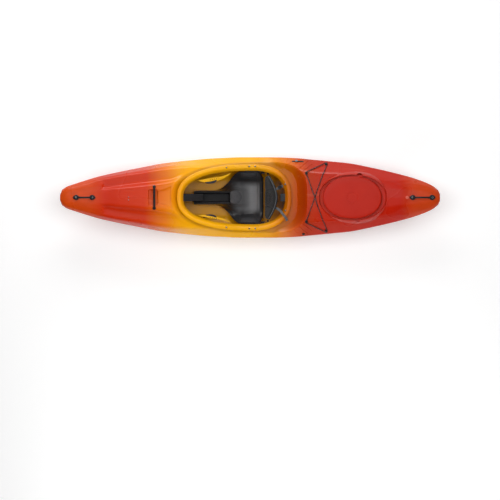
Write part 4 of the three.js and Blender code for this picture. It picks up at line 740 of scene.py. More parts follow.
# the hull's table of offsets: heights are shares of the depth, breadths are shares of the half beam
hull = {
    "length": cadBox[1].x - cadBox[0].x,
    "halfBeam": 0.325,
    "depth": 0.391,
    "wall": 0.005,
    "stationStep": 0.0085,  # share of the length
    "edgeStep": 0.016,  # longest edge round a section
    "innerCoarse": 1.6,  # how much longer the inside's steps are
    "cornerPoints": 9,
    "coarsePoints": 5,
    "floorShare": 0.5,
    "clear": 0.03,  # how far a cutter stands clear of what it cuts
    "offsets": [
        # station, keel, vee, chine y z, sheer y z, ridge y z, scoop y z, plateau y z, crest
        (0.0, 0.762, 0.3, 0.043, 0.78, 0.068, 0.811, 0.055, 0.839, 0.04, 0.846, 0.022, 0.852, 0.854),
        (0.005, 0.719, 0.3, 0.117, 0.757, 0.191, 0.808, 0.154, 0.852, 0.111, 0.864, 0.062, 0.872, 0.875),
        (0.016, 0.621, 0.3, 0.178, 0.716, 0.265, 0.798, 0.215, 0.857, 0.154, 0.877, 0.086, 0.887, 0.893),
        (0.04, 0.504, 0.28, 0.252, 0.65, 0.345, 0.777, 0.283, 0.852, 0.203, 0.882, 0.111, 0.898, 0.903),
        (0.079, 0.379, 0.26, 0.363, 0.583, 0.462, 0.739, 0.382, 0.852, 0.271, 0.885, 0.154, 0.9, 0.905),
        (0.1, 0.309, 0.25, 0.418, 0.56, 0.52, 0.716, 0.434, 0.854, 0.308, 0.885, 0.172, 0.908, 0.91),
        (0.105, 0.297, 0.247, 0.43, 0.556, 0.532, 0.708, 0.445, 0.854, 0.262, 0.86, 0.176, 0.911, 0.914),
        (0.116, 0.274, 0.24, 0.455, 0.547, 0.557, 0.691, 0.468, 0.857, 0.258, 0.859, 0.185, 0.916, 0.921),
        (0.158, 0.199, 0.22, 0.538, 0.46, 0.643, 0.642, 0.548, 0.862, 0.302, 0.864, 0.222, 0.954, 0.962),
        (0.224, 0.115, 0.18, 0.652, 0.327, 0.766, 0.586, 0.652, 0.864, 0.369, 0.87, 0.289, 0.99, 0.997),
        (0.263, 0.079, 0.15, 0.72, 0.286, 0.837, 0.555, 0.714, 0.864, 0.412, 0.875, 0.326, 0.992, 1.0),
        (0.295, 0.054, 0.13, 0.766, 0.251, 0.877, 0.537, 0.748, 0.862, 0.462, 0.885, 0.369, 0.977, 0.987),
        (0.321, 0.038, 0.1, 0.8, 0.23, 0.905, 0.527, 0.763, 0.847, 0.585, 0.875, 0.431, 0.936, 0.967),
        (0.355, 0.023, 0.06, 0.831, 0.21, 0.935, 0.522, 0.769, 0.798, 0.662, 0.824, 0.462, 0.844, 0.854),
        (0.395, 0.01, 0.03, 0.855, 0.189, 0.969, 0.519, 0.757, 0.76, 0.692, 0.767, 0.462, 0.798, 0.808),
        (0.434, 0.0, 0.0, 0.877, 0.171, 0.985, 0.519, 0.806, 0.685, 0.738, 0.701, 0.462, 0.721, 0.726),
        (0.474, 0.0, 0.0, 0.892, 0.159, 1.0, 0.519, 0.858, 0.645, 0.8, 0.652, 0.462, 0.66, 0.66),
        (0.513, 0.0, 0.0, 0.892, 0.159, 1.0, 0.519, 0.868, 0.629, 0.812, 0.634, 0.462, 0.639, 0.639),
        (0.547, 0.0, 0.0, 0.889, 0.169, 1.0, 0.522, 0.852, 0.606, 0.806, 0.609, 0.462, 0.627, 0.627),
        (0.579, 0.003, 0.02, 0.883, 0.189, 0.997, 0.524, 0.849, 0.66, 0.775, 0.68, 0.462, 0.729, 0.742),
        (0.605, 0.008, 0.04, 0.874, 0.21, 0.988, 0.529, 0.806, 0.711, 0.723, 0.737, 0.462, 0.78, 0.793),
        (0.632, 0.015, 0.06, 0.858, 0.235, 0.975, 0.537, 0.692, 0.775, 0.585, 0.798, 0.369, 0.818, 0.829),
        (0.653, 0.028, 0.08, 0.84, 0.261, 0.954, 0.542, 0.64, 0.803, 0.523, 0.818, 0.338, 0.836, 0.847),
        (0.679, 0.046, 0.1, 0.815, 0.299, 0.932, 0.55, 0.615, 0.816, 0.492, 0.829, 0.308, 0.847, 0.857),
        (0.711, 0.074, 0.13, 0.788, 0.343, 0.902, 0.56, 0.6, 0.816, 0.462, 0.829, 0.295, 0.841, 0.847),
        (0.763, 0.128, 0.17, 0.732, 0.389, 0.852, 0.581, 0.575, 0.816, 0.431, 0.832, 0.277, 0.846, 0.852),
        (0.816, 0.199, 0.2, 0.646, 0.445, 0.754, 0.601, 0.5, 0.818, 0.385, 0.838, 0.246, 0.856, 0.863),
        (0.868, 0.289, 0.23, 0.554, 0.527, 0.643, 0.629, 0.425, 0.813, 0.332, 0.839, 0.215, 0.864, 0.876),
        (0.905, 0.361, 0.247, 0.48, 0.593, 0.553, 0.653, 0.382, 0.812, 0.3, 0.846, 0.189, 0.876, 0.887),
        (0.912, 0.375, 0.25, 0.466, 0.605, 0.536, 0.658, 0.374, 0.807, 0.294, 0.829, 0.185, 0.862, 0.876),
        (0.937, 0.43, 0.26, 0.406, 0.645, 0.462, 0.68, 0.345, 0.795, 0.271, 0.826, 0.172, 0.857, 0.871),
        (0.966, 0.506, 0.28, 0.314, 0.678, 0.36, 0.708, 0.277, 0.78, 0.215, 0.813, 0.142, 0.839, 0.852),
        (0.984, 0.575, 0.3, 0.234, 0.701, 0.271, 0.726, 0.209, 0.777, 0.16, 0.803, 0.105, 0.824, 0.834),
        (0.995, 0.665, 0.3, 0.154, 0.716, 0.185, 0.742, 0.148, 0.777, 0.111, 0.798, 0.074, 0.811, 0.818),
        (1.0, 0.726, 0.3, 0.062, 0.742, 0.08, 0.76, 0.062, 0.775, 0.043, 0.783, 0.025, 0.788, 0.79),
    ],
    "deckSteps": [
        # station, how far the slant fades, slant, then breadths where it starts, stops growing and ends
        (0.1025, 0.05, 0.6, 0.041, 0.105, 0.141),
        (0.909, 0.035, -1.2, 0.085, 0.115, 0.14),
    ],
    "deckShare": 0.75,  # the deck lies above this share of the depth
    "insideShade": 0.7,
}
cockpit = {
    "length": 0.819,
    "width": 0.432,
    "widestShare": 0.505,
    "foreShare": 0.674,
    "power": 2.4,
    "bowlFore": 0.095,
    "bowlSide": 0.073,
    "bowlAft": 0.178,
    "bowlAftPower": 3.5,
    "slopeFore": 0.07,
    "slopeAft": 0.18,
    "slopePower": 1.12,
    "slopeSteps": (0, 0.15, 0.3, 0.5, 0.7, 0.85, 1),
    "floorRings": (0.5, 0.9),  # shares of the floor's own outline
    "steps": 144,
    "rise": 0.032,
    "reach": 0.05,
    # how softly the painted shade fades out at the bowl's outline
    "sunkenShadeFade": 0.1,
    "rim": [
        # station, height of the lip's top as a share of the depth
        (0.29, 1.0),
        (0.31, 0.992),
        (0.342, 0.951),
        (0.395, 0.885),
        (0.434, 0.811),
        (0.461, 0.757),
        (0.487, 0.729),
        (0.513, 0.711),
        (0.547, 0.685),
        (0.579, 0.678),
        (0.611, 0.685),
    ],
}


def lerp(a, b, t):
    return a + (b - a) * t


def smoothstep(value, low, high):
    t = min(1, max(0, (value - low) / (high - low)))
    return t * t * (3 - 2 * t)


def monotone(xs, ys):
    # a cubic curve through the points that never overshoots them
    steps = [xs[i + 1] - xs[i] for i in range(len(xs) - 1)]
    slopes = [(ys[i + 1] - ys[i]) / steps[i] for i in range(len(steps))]
    tangents = [slopes[0]]
    for i in range(1, len(slopes)):
        before, after = slopes[i - 1], slopes[i]
        flat = before * after <= 0
        weight = 3 * (steps[i - 1] + steps[i])
        first, second = 2 * steps[i] + steps[i - 1], steps[i] + 2 * steps[i - 1]
        tangents.append(0 if flat else weight / (first / before + second / after))
    tangents.append(slopes[-1])

    def curve(x):
        if x <= xs[0]:
            return ys[0]
        if x >= xs[-1]:
            return ys[-1]
        i = next(k for k in range(len(xs) - 1) if x <= xs[k + 1])
        t = (x - xs[i]) / steps[i]
        u = 1 - t
        return (
            ys[i] * u * u * (1 + 2 * t)
            + ys[i + 1] * t * t * (3 - 2 * t)
            + tangents[i] * steps[i] * t * u * u
            - tangents[i + 1] * steps[i] * t * t * u
        )

    return curve


def station(share):
    return (share - 0.5) * hull["length"]


def shareAt(x):
    return x / hull["length"] + 0.5


def columnOf(rows, k):
    return [row[k] for row in rows]


def powered(value, power):
    return math.copysign(abs(value) ** power, value)


stationShares = columnOf(hull["offsets"], 0)
offsetCurves = [monotone(stationShares, columnOf(hull["offsets"], k)) for k in range(1, len(hull["offsets"][0]))]


def halfSection(share, cornerPoints):
    # breadths and heights from the crest round to the keel, with the corners rounded
    keel, vee, chineY, chineZ, sheerY, sheerZ, ridgeY, ridgeZ, scoopY, scoopZ, plateauY, plateauZ, crest = [
        curve(share) for curve in offsetCurves
    ]
    corners = [
        (0, crest, 0),
        (plateauY, plateauZ, 0.3),
        (scoopY, scoopZ, 0.3),
        (ridgeY, ridgeZ, 0.3),
        (sheerY, sheerZ, 0.1),
        (chineY, chineZ, 0.42),
        (chineY * hull["floorShare"], lerp(keel, chineZ, vee), 0.15),
        (0, keel, 0),
    ]
    corners = [(y * hull["halfBeam"], z * hull["depth"], rounding) for y, z, rounding in corners]
    line = [corners[0][:2]]
    for before, corner, after in zip(corners, corners[1:], corners[2:]):
        for k in range(cornerPoints):
            t = k / (cornerPoints - 1)
            at = []
            for axis in (0, 1):
                start = lerp(corner[axis], before[axis], corner[2])
                end = lerp(corner[axis], after[axis], corner[2])
                at.append(start * (1 - t) ** 2 + 2 * corner[axis] * t * (1 - t) + end * t * t)
            line.append(tuple(at))
    line.append(corners[-1][:2])
    return line


def evenly(line, counts):
    # splits each stretch of the line into its own number of parts
    made = []
    for (ay, az), (by, bz), count in zip(line, line[1:], counts):
        made += [(lerp(ay, by, k / count), lerp(az, bz, k / count)) for k in range(count)]
    return made + [line[-1]]


def slantAt(share, y, z):
    # how far the deck's two steps run aslant of the stations
    if z < hull["deckShare"] * hull["depth"]:
        return 0
    shift = 0
    for middle, fade, slant, start, whole, end in hull["deckSteps"]:
        near = 1 - smoothstep(abs(share - middle), 0, fade)
        shift += near * slant * max(0, abs(y) - start) * (1 - smoothstep(abs(y), whole, end))
    return shift


def sectionRing(share, inset, cornerPoints, counts):
    half = evenly(halfSection(share, cornerPoints), counts)
    ring = half + [(-y, z) for y, z in reversed(half[1:-1])]
    made = []
    for i, (y, z) in enumerate(ring):
        py, pz = ring[i - 1]
        ny, nz = ring[(i + 1) % len(ring)]
        mitre = Vector((nz - pz, py - ny))
        if mitre.length > 0:
            mitre.normalize()
        x = station(share) + slantAt(share, y, z)
        made.append(Vector((x, y + mitre.x * inset, z + mitre.y * inset)))
    return made


def stretchCounts(cornerPoints, edgeStep):
    # parts for each stretch, from its longest length over all the stations
    longest = None
    for share in stationShares:
        line = halfSection(share, cornerPoints)
        lengths = [math.dist(a, b) for a, b in zip(line, line[1:])]
        longest = lengths if longest is None else [max(a, b) for a, b in zip(longest, lengths)]
    return [max(1, round(length / edgeStep)) for length in longest]


def hullLoft(name, shares, inset, cornerPoints, edgeStep):
    counts = stretchCounts(cornerPoints, edgeStep)
    return loft(name, [sectionRing(share, inset, cornerPoints, counts) for share in shares])


def between(low, high, step):
    count = max(1, round((high - low) / step))
    return [lerp(low, high, k / count) for k in range(count + 1)]


def refined(shares, step):
    # the table's own stations, with the longer spans split
    made = [shares[0]]
    for a, b in zip(shares, shares[1:]):
        made += between(a, b, step)[1:]
    return made


cockpitX = station(cockpit["widestShare"])
cockpitFore = cockpit["length"] * cockpit["foreShare"]
cockpitAft = cockpit["length"] - cockpitFore
rimCurve = monotone(columnOf(cockpit["rim"], 0), columnOf(cockpit["rim"], 1))
cockpitAngles = turns(cockpit["steps"], 0.5)


def bowlFloor(x):
    return rimCurve(shareAt(x)) * hull["depth"] - cockpit["rise"]


def planPoint(angle, fore, aft, side, forePower, aftPower):
    ahead = math.cos(angle) < 0
    power = 2 / (forePower if ahead else aftPower)
    along = powered(math.cos(angle), power)
    return cockpitX + along * (fore if ahead else aft), powered(math.sin(angle), power) * side


def rimPoint(angle, out):
    fore, aft, side = cockpitFore + out, cockpitAft + out, cockpit["width"] / 2 + out
    return planPoint(angle, fore, aft, side, cockpit["power"], cockpit["power"])


def bareDeck(x, y):
    half = halfSection(shareAt(x), hull["coarsePoints"])
    reach = abs(y)
    i = next(k for k in range(1, len(half)) if half[k][0] > reach)
    (ay, az), (by, bz) = half[i - 1], half[i]
    return lerp(az, bz, (reach - ay) / (by - ay))


def bowlCutter(name, drop):
    side = cockpit["width"] / 2 + cockpit["bowlSide"] + drop

    def edge(angle, scale):
        fore = (cockpitFore + cockpit["bowlFore"] + drop) * scale
        aft = (cockpitAft + cockpit["bowlAft"] + drop) * scale
        return planPoint(angle, fore, aft, side * scale, cockpit["power"], cockpit["bowlAftPower"])

    def ring(scaleOf, heightOf):
        made = []
        for angle in cockpitAngles:
            x, y = edge(angle, scaleOf(angle))
            made.append(Vector((x, y, heightOf(x, y))))
        return made

    def foot(angle):
        return 1 - lerp(cockpit["slopeFore"], cockpit["slopeAft"], max(0, math.cos(angle)))

    def lipHeight(x, y):
        return max(bareDeck(x, y), bowlFloor(x)) - drop

    def slopeRing(t):
        # between the foot and the lip, hollow at the foot and rounded at the lip
        made = []
        for angle in cockpitAngles:
            x, y = edge(angle, lerp(foot(angle), 1, t))
            lipX, lipY = edge(angle, 1)
            low, high = bowlFloor(x) - drop, lipHeight(lipX, lipY)
            made.append(Vector((x, y, lerp(low, high, t ** cockpit["slopePower"]))))
        return made

    rings = []
    for share in cockpit["floorRings"]:
        rings.append(ring(lambda angle: foot(angle) * share, lambda x, y: bowlFloor(x) - drop))
    rings += [slopeRing(t) for t in cockpit["slopeSteps"]]
    rings.append(ring(lambda angle: 1, lambda x, y: hull["depth"] + hull["clear"]))
    return loft(name, rings)


def basis(place, across, out):
    # a place on a surface: x along, y across, z outwards
    z = Vector(out).normalized()
    x = Vector(across).cross(z).normalized()
    y = z.cross(x)
    turn = Matrix((x, y, z)).transposed().to_4x4()
    return Matrix.Translation(place) @ turn


def deckPlace(x, y, reach=0.006):
    dx = Vector((2 * reach, 0, bareDeck(x + reach, y) - bareDeck(x - reach, y)))
    dy = Vector((0, 2 * reach, bareDeck(x, y + reach) - bareDeck(x, y - reach)))
    out = dx.cross(dy).normalized()
    return basis((x, y, bareDeck(x, y)), dy, out)


def turned(name, profile, steps, place, smoothAngle=35):
    # radius and height pairs turned about the place's z
    rings = []
    for radius, height in profile:
        reach = max(radius, 1e-5)
        rings.append([place @ Vector((reach * math.cos(a), reach * math.sin(a), height)) for a in turns(steps)])
    return loft(name, rings, smoothAngle=smoothAngle)


def addWall(piece, thick, offset, even=True):
    modifier = piece.modifiers.new("wall", "SOLIDIFY")
    modifier.thickness = thick
    modifier.offset = offset
    modifier.use_even_offset = even
    applyModifiers(piece)


def gridPiece(name, rows, thick, smoothAngle=60):
    # a sheet from rows of points with a wall on its under side; UVs are in metres
    columns = len(rows[0])
    points = [point for row in rows for point in row]
    faces = []
    for i in range(len(rows) - 1):
        for j in range(columns - 1):
            a = i * columns + j
            faces.append((a, a + 1, a + columns + 1, a + columns))
    mesh = bpy.data.meshes.new(name)
    mesh.from_pydata([tuple(point) for point in points], [], faces)
    piece = linked(name, mesh)
    lengthwise = [0]
    for before, after in zip(rows, rows[1:]):
        lengthwise.append(lengthwise[-1] + sum((b - a).length for a, b in zip(before, after)) / columns)
    crosswise = [0]
    middle = rows[len(rows) // 2]
    for a, b in zip(middle, middle[1:]):
        crosswise.append(crosswise[-1] + (b - a).length)
    layer = mesh.uv_layers.new(name="UVMap")
    for loop in mesh.loops:
        i, j = divmod(loop.vertex_index, columns)
        layer.data[loop.index].uv = (lengthwise[i], crosswise[j])
    if thick:
        addWall(piece, thick, -1)
    smoothShade(piece, smoothAngle)
    return piece


# pieces made with Blender's own tools
def addCube(name, size):
    deselectAll()
    bpy.ops.mesh.primitive_cube_add(size=1)
    return named(name, size)


def addCylinder(name, radius, depth, around=40):
    deselectAll()
    bpy.ops.mesh.primitive_cylinder_add(vertices=around, radius=radius, depth=depth)
    return named(name, (1, 1, 1))


def named(name, size):
    piece = bpy.context.object
    piece.name = name
    piece.scale = size
    bpy.ops.object.transform_apply(location=False, rotation=False, scale=True)
    return piece


def editFaces(piece, wanted=lambda face: True):
    # opens edit mode with the wanted faces selected
    makeActive(piece)
    bpy.ops.object.mode_set(mode="EDIT")
    bpy.ops.mesh.select_mode(type="FACE")
    bpy.ops.mesh.select_all(action="DESELECT")
    bpy.ops.object.mode_set(mode="OBJECT")
    for face in piece.data.polygons:
        face.select = wanted(face)
    bpy.ops.object.mode_set(mode="EDIT")


def leaveEdit():
    bpy.ops.object.mode_set(mode="OBJECT")


def facesUp(face):
    return face.normal.z > 0.9


def rounded(piece, width, segments=3, angle=40):
    modifier = piece.modifiers.new("round", "BEVEL")
    modifier.width = width
    modifier.segments = segments
    modifier.limit_method = "ANGLE"
    modifier.angle_limit = math.radians(angle)
    applyModifiers(piece)
    smoothShade(piece, angle)
    return piece


def settle(piece, place):
    makeActive(piece)
    piece.matrix_world = place
    bpy.ops.object.transform_apply()
    return piece


def finished(node, name, width, segments=2, angle=30, trim=None):
    # a fitting with the frame's own shape, its edges rounded and its flats made whole
    piece = linked(name, bpy.data.objects[node].data.copy())
    makeActive(piece)
    bpy.ops.object.mode_set(mode="EDIT")
    bpy.ops.mesh.select_all(action="SELECT")
    bpy.ops.mesh.remove_doubles(threshold=0.00002)
    bpy.ops.mesh.dissolve_limited(angle_limit=math.radians(1.5))
    leaveEdit()
    if trim:
        trim(piece)
    if width:
        rounded(piece, width, segments, angle)
    dressPiece(piece, nodeFinish[node], nodeBody[node], node)
    return piece


def nodeBox(node):
    return tuple(Vector(corner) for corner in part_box(node))


def moved(place, x=0, y=0, z=0):
    return place @ Matrix.Translation((x, y, z))


def tilted(place, slope):
    return Matrix.Translation(place) @ Matrix.Rotation(-slope, 4, "Y")


def athwart(place):
    # a cylinder's own place, turned so that it lies across the boat
    return Matrix.Translation(place) @ Matrix.Rotation(math.pi / 2, 4, "X")


def turnedPiece(name, profile, steps, place, finish, body="boat", node=None):
    piece = turned(name, profile, steps, place)
    dressPiece(piece, finish, body, node)
    return piece


# the coaming's section: out from the opening's edge as a share of the reach, up as a share of the rise
coaming = {
    "section": [
        (0.72, -0.2),
        (0.7, 0.02),
        (0.62, 0.14),
        (0.585, 0.4),
        (0.6, 0.62),
        (0.66, 0.7),
        (0.86, 0.66),
        (0.96, 0.68),
        (1.0, 0.75),
        (0.99, 0.84),
        (0.93, 0.91),
        (0.8, 0.965),
        (0.62, 1.0),
        (0.48, 0.99),
        (0.38, 0.9),
        (0.3, 0.72),
        (0.2, 0.46),
        (0.08, 0.2),
        (0.0, 0.02),
        (-0.02, -0.2),
    ],
    "bossLength": 0.096,
    "bossWidth": 0.026,
    "bossInset": 0.02,
    "bossRise": 0.86,
    "seatBoltShares": (0.498, 0.514),
    "braceBoltShare": 0.438,
}


def edgeBreadth(x):
    reach = cockpitFore if x < cockpitX else cockpitAft
    along = min(1, abs(x - cockpitX) / reach)
    return cockpit["width"] / 2 * (1 - along ** cockpit["power"]) ** (1 / cockpit["power"])


def makeCoaming():
    rings = []
    for angle in cockpitAngles:
        ring = []
        for out, up in coaming["section"]:
            x, y = rimPoint(angle, out * cockpit["reach"])
            ring.append(Vector((x, y, bowlFloor(x) + up * cockpit["rise"])))
        rings.append(ring)
    return loft("coaming", rings, closed=True)


def superOval(halfLength, halfWidth, steps, power=2.0):
    return [
        (powered(math.cos(a), 2 / power) * halfLength, powered(math.sin(a), 2 / power) * halfWidth)
        for a in turns(steps, 0.5)
    ]


# the stern hatch: a tilted oval cover in a ring groove, inside a raised rim
hatch = {
    "stationShare": 0.7695,
    "heightShare": 0.86,
    "tilt": 0.0295,
    "length": 0.47,
    "width": 0.34,
    "power": 2.15,
    "steps": 112,
    "rimAlong": 0.03,
    "rimAcross": 0.011,
    "rimWall": 0.008,
    "rimRise": 0.003,
    "chamfer": 0.003,
    "groove": 0.021,
    "boss": 0.048,
    "flare": 0.022,
    "skirtWall": 0.007,
    "runGap": 0.0008,
    "neckWall": 0.008,
    "neckTop": 0.007,
    "notch": 0.026,
    "notchDeep": 0.92,  # share of the groove's depth
    "notches": ((0.24, 1), (0.24 * 0.86, -1)),  # how far aft as a share of the half length, side
    "badge": 0.046,
}
hatchPlace = tilted((station(hatch["stationShare"]), 0, hatch["heightShare"] * hull["depth"]), hatch["tilt"])


def ovalRing(inset, z):
    # the rim grows more along the boat than across it
    spread = min(1, max(0, -inset / hatch["rimAcross"]))
    wide = 1 + spread * (hatch["rimAlong"] - hatch["rimAcross"]) / (hatch["length"] / 2)
    outline = superOval(hatch["length"] / 2 - inset, hatch["width"] / 2 - inset, hatch["steps"], hatch["power"])
    return [hatchPlace @ Vector((x * wide, y, z)) for x, y in outline]


def ovalLoft(name, *levels):
    return loft(name, [ovalRing(inset, z) for inset, z in levels])


def prism(name, outline, low, high, place=Matrix()):
    return loft(name, [[place @ Vector((x, y, z)) for x, y in outline] for z in (low, high)])


def block(name, size, place):
    x, y, z = size[0] / 2, size[1] / 2, size[2] / 2
    return prism(name, [(-x, -y), (x, -y), (x, y), (-x, y)], -z, z, place)


def deckSlope(x, reach=0.008):
    return math.atan2(bowlFloor(x + reach) - bowlFloor(x - reach), 2 * reach)


print("hull: outside and inside skins")
outerShares = refined(stationShares, hull["stationStep"])
hullPiece = hullLoft("hull", outerShares, 0, hull["cornerPoints"], hull["edgeStep"])
rim, rimWall, rimRise, grooveDeep = -hatch["rimAcross"], hatch["rimWall"], hatch["rimRise"], hatch["groove"]
edge = rim - rimWall
boss = ovalLoft(
    "boss",
    (edge - hatch["flare"], -hatch["boss"]),
    (edge - hatch["flare"] * 0.45, -rimWall * 1.9),
    (edge - hatch["flare"] * 0.2, -rimWall * 0.9),
    (edge, -rimWall * 0.25),
    (edge + rimWall * 0.35, rimRise * 0.7),
    (edge + rimWall * 0.65, rimRise),
)
add(hullPiece, boss)
cut(hullPiece, bowlCutter("bowl", 0))
chamfer = rim - hatch["chamfer"]
cut(hullPiece, ovalLoft("groove", (rim, -grooveDeep), (rim, -rimRise), (chamfer, rimRise), (chamfer, hull["clear"])))

# finger notches in the rim
for share, side in hatch["notches"]:
    place = moved(hatchPlace, share * hatch["length"] / 2, side * hatch["width"] / 2)
    outline = superOval(hatch["notch"], hatch["notch"], 40)
    cut(hullPiece, prism("notch", outline, -grooveDeep * hatch["notchDeep"], hull["clear"], place))

# the fore deck's recess under the bar, and the shallow trough from it to the bowl
foreDeck = {
    "barShare": 0.248,
    "barRadius": 0.009,
    "recess": 0.082,
    "recessHalf": 0.067,
    "deep": 0.033,
    "power": 6,
    "cornerRound": 0.008,
    "apron": [
        # along the boat, the trough's half width and depth
        (-0.745, 0.06, 0.012),
        (-0.715, 0.063, 0.012),
        (-0.69, 0.068, 0.011),
        (-0.665, 0.077, 0.01),
        (-0.635, 0.092, 0.01),
    ],
    # the trough's section: breadth as a share of its half width, height over its floor
    "apronHalf": ((0.75, 0), (0.9, 0.0015), (1, 0.005), (1, 0.03)),
}
barX = station(foreDeck["barShare"])


def recessCutter(name, grow):
    cornerRound, rings = foreDeck["cornerRound"], []
    floor = hull["depth"] - foreDeck["deep"] - grow
    levels = [
        (cornerRound * (1 - math.sqrt(max(0, 1 - (1 - t) ** 2))), floor + cornerRound * t) for t in (0, 0.15, 0.4, 1)
    ]
    for inset, z in levels + [(0, hull["depth"] + hull["clear"])]:
        halfLength, halfWidth = foreDeck["recess"] / 2 + grow - inset, foreDeck["recessHalf"] + grow - inset
        outline = superOval(halfLength, halfWidth, 72, foreDeck["power"])
        rings.append([Vector((barX - foreDeck["barRadius"] + x, y, z)) for x, y in outline])
    return loft(name, rings)


def apronCutter(name, grow):
    section = [(-y, z) for y, z in reversed(foreDeck["apronHalf"])] + list(foreDeck["apronHalf"])
    rings = []
    for x, half, deep in foreDeck["apron"]:
        low = bareDeck(x, 0) - deep - grow
        rings.append([Vector((x, y * (half + grow), low + z)) for y, z in section])
    return loft(name, rings)


cut(hullPiece, recessCutter("recess", 0))
cut(hullPiece, apronCutter("apron", 0))

print("hull: hollow")
innerShares = refined(stationShares[2:-2], hull["stationStep"] * hull["innerCoarse"])
innerEdge = hull["edgeStep"] * hull["innerCoarse"]
hollow = hullLoft("hollow", innerShares, hull["wall"], hull["coarsePoints"], innerEdge)
cut(hollow, bowlCutter("bowl_under", hull["wall"]))
tray = rim - hull["wall"]
cut(hollow, ovalLoft("tray", (tray, -grooveDeep - hull["wall"]), (tray, hull["clear"])))
cut(hollow, recessCutter("recess_under", hull["wall"]))
cut(hollow, apronCutter("apron_under", hull["wall"]))
insideRoom = copied(hollow)
cut(hullPiece, hollow)
opening = [rimPoint(angle, cockpit["reach"] / 4) for angle in cockpitAngles]
cut(hullPiece, prism("opening", opening, hull["depth"] / 3, hull["depth"] + hull["clear"]))
add(hullPiece, makeCoaming())

# plateaus on the coaming for the bolts, then the hatch's neck and mouth
for shares in (coaming["seatBoltShares"], (coaming["braceBoltShare"],)):
    middle = station(sum(shares) / len(shares))
    length = coaming["bossLength"] / (1 if len(shares) > 1 else 2)
    height = cockpit["rise"] * coaming["bossRise"]
    outline = superOval(length / 2, coaming["bossWidth"] / 2, 32, 8)
    for side in (-1, 1):
        y = side * (edgeBreadth(middle) + coaming["bossInset"] + coaming["bossWidth"] / 2)
        place = tilted((middle, y, bowlFloor(middle) + height / 2), deckSlope(middle))
        add(hullPiece, prism("plateau", outline, -height / 2, height / 2, place))
neck = hatch["skirtWall"] + hatch["runGap"]
add(hullPiece, ovalLoft("neck", (neck, -grooveDeep - hull["wall"] / 2), (neck, -hatch["neckTop"])))
mouth = neck + hatch["neckWall"]
cut(hullPiece, ovalLoft("mouth", (mouth, -hatch["boss"] - hull["clear"]), (mouth, hull["clear"])))

# the skeg's slot in the keel, the slider's pocket, and grooves for grip on the rear shoulders
skegSlot = {"middle": (1.06, 0, 0.085), "size": (0.384, 0.013, 0.23)}
cut(hullPiece, block("skeg_slot", skegSlot["size"], Matrix.Translation(skegSlot["middle"])))
sliderSlot = {
    "stationShare": 0.6258,
    "knobShare": 0.6218,
    "breadthShare": 0.889,
    "parts": [
        # size, then how far its middle lies under the deck
        ((0.0924, 0.0134, 0.0044), 0),
        ((0.0604, 0.0114, 0.024), 0.012),
    ],
}
sliderPlace = deckPlace(station(sliderSlot["stationShare"]), sliderSlot["breadthShare"] * hull["halfBeam"])
for size, down in sliderSlot["parts"]:
    cut(hullPiece, block("slider_slot", size, moved(sliderPlace, z=-down)))
tread = {
    "lines": [
        ((0.304, 0.259), (0.331, 0.2865)),
        ((0.3427, 0.2496), (0.382, 0.284)),
        ((0.389, 0.2255), (0.4695, 0.2938)),
        ((0.4133, 0.2015), (0.4984, 0.2649)),
    ],
    "half": 0.0026,
    "deep": 0.0028,
    "flare": 2.2,
    "steps": 10,
}


def treadGroove(start, end, side):
    along = Vector((end[0] - start[0], side * (end[1] - start[1]), 0))
    half, deep, rings = tread["half"], tread["deep"], []
    for k in range(tread["steps"] + 1):
        t = k / tread["steps"]
        place = deckPlace(lerp(start[0], end[0], t), side * lerp(start[1], end[1], t))
        out = place.to_3x3() @ upward
        across = out.cross(along).normalized()
        corners = ((-half, -deep), (half, -deep), (half * tread["flare"], deep), (-half * tread["flare"], deep))
        rings.append([place.translation + across * a + out * b for a, b in corners])
    return loft("tread", rings)


for side in (-1, 1):
    for start, end in tread["lines"]:
        cut(hullPiece, treadGroove(start, end, side))
smoothShade(hullPiece, 32)
print("hull:", len(hullPiece.data.polygons), "faces")


def markSunkenShade():
    # painted shade: how far each point lies under the moulded deck line, from 0 to 1
    layer = hullPiece.data.attributes.new("sunken_shade", "FLOAT", "POINT")
    for i, vertex in enumerate(hullPiece.data.vertices):
        x, y, z = vertex.co
        reach = (cockpitFore + cockpit["bowlFore"]) if x < cockpitX else (cockpitAft + cockpit["bowlAft"])
        power = cockpit["power"] if x < cockpitX else cockpit["bowlAftPower"]
        side = cockpit["width"] / 2 + cockpit["bowlSide"]
        away = (abs(x - cockpitX) / reach) ** power + (abs(y) / side) ** power
        if away < 1:
            depth = max(bareDeck(x, y), bowlFloor(x) + cockpit["rise"]) - z
            deep = smoothstep(depth, 0, cockpit["rise"])
            layer.data[i].value = deep * smoothstep(1 - away, 0, cockpit["sunkenShadeFade"])
        # the hatch's groove and mouth get full painted shade
        local = hatchPlace.inverted() @ vertex.co
        along = abs(local.x) / (hatch["length"] / 2 + hatch["rimAlong"])
        across = abs(local.y) / (hatch["width"] / 2 + hatch["rimAcross"])
        if along ** hatch["power"] + across ** hatch["power"] < 1 and local.z < -hatch["rimRise"]:
            layer.data[i].value = 1
        # the hull's inside, below the bowl's floor, gets painted shade
        inward = vertex.normal.dot(Vector((0, y, z - hull["depth"] / 2))) < 0
        if inward and z < bowlFloor(x) - hull["wall"] / 2:
            layer.data[i].value = hull["insideShade"]


markSunkenShade()
dressPiece(hullPiece, "hull", node="hull_shell")
for node, finish in nodeFinish.items():
    shape = bpy.data.objects[node]
    if not shape.material_slots:
        shape.data.materials.append(finishes[finish])
    for slot in shape.material_slots:
        slot.material = finishes[finish]

dressPiece(cordPiece, "cord", node="deck_bungee")
cordUv = cordPiece.data.uv_layers.new(name="UVMap")
ringStep = 2 * math.pi * deckCord["radius"] / deckCord["around"]
for face in cordPiece.data.polygons:
    ring, around = divmod(face.index, deckCord["around"])
    for loop, (across, lengthwise) in zip(face.loop_indices, ((0, 0), (1, 0), (1, 1), (0, 1))):
        cordUv.data[loop].uv = ((ring + lengthwise) * deckCord["stepLength"], (around + across) * ringStep)
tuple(cordLine[0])
round(lineLength(cordLine), 3)


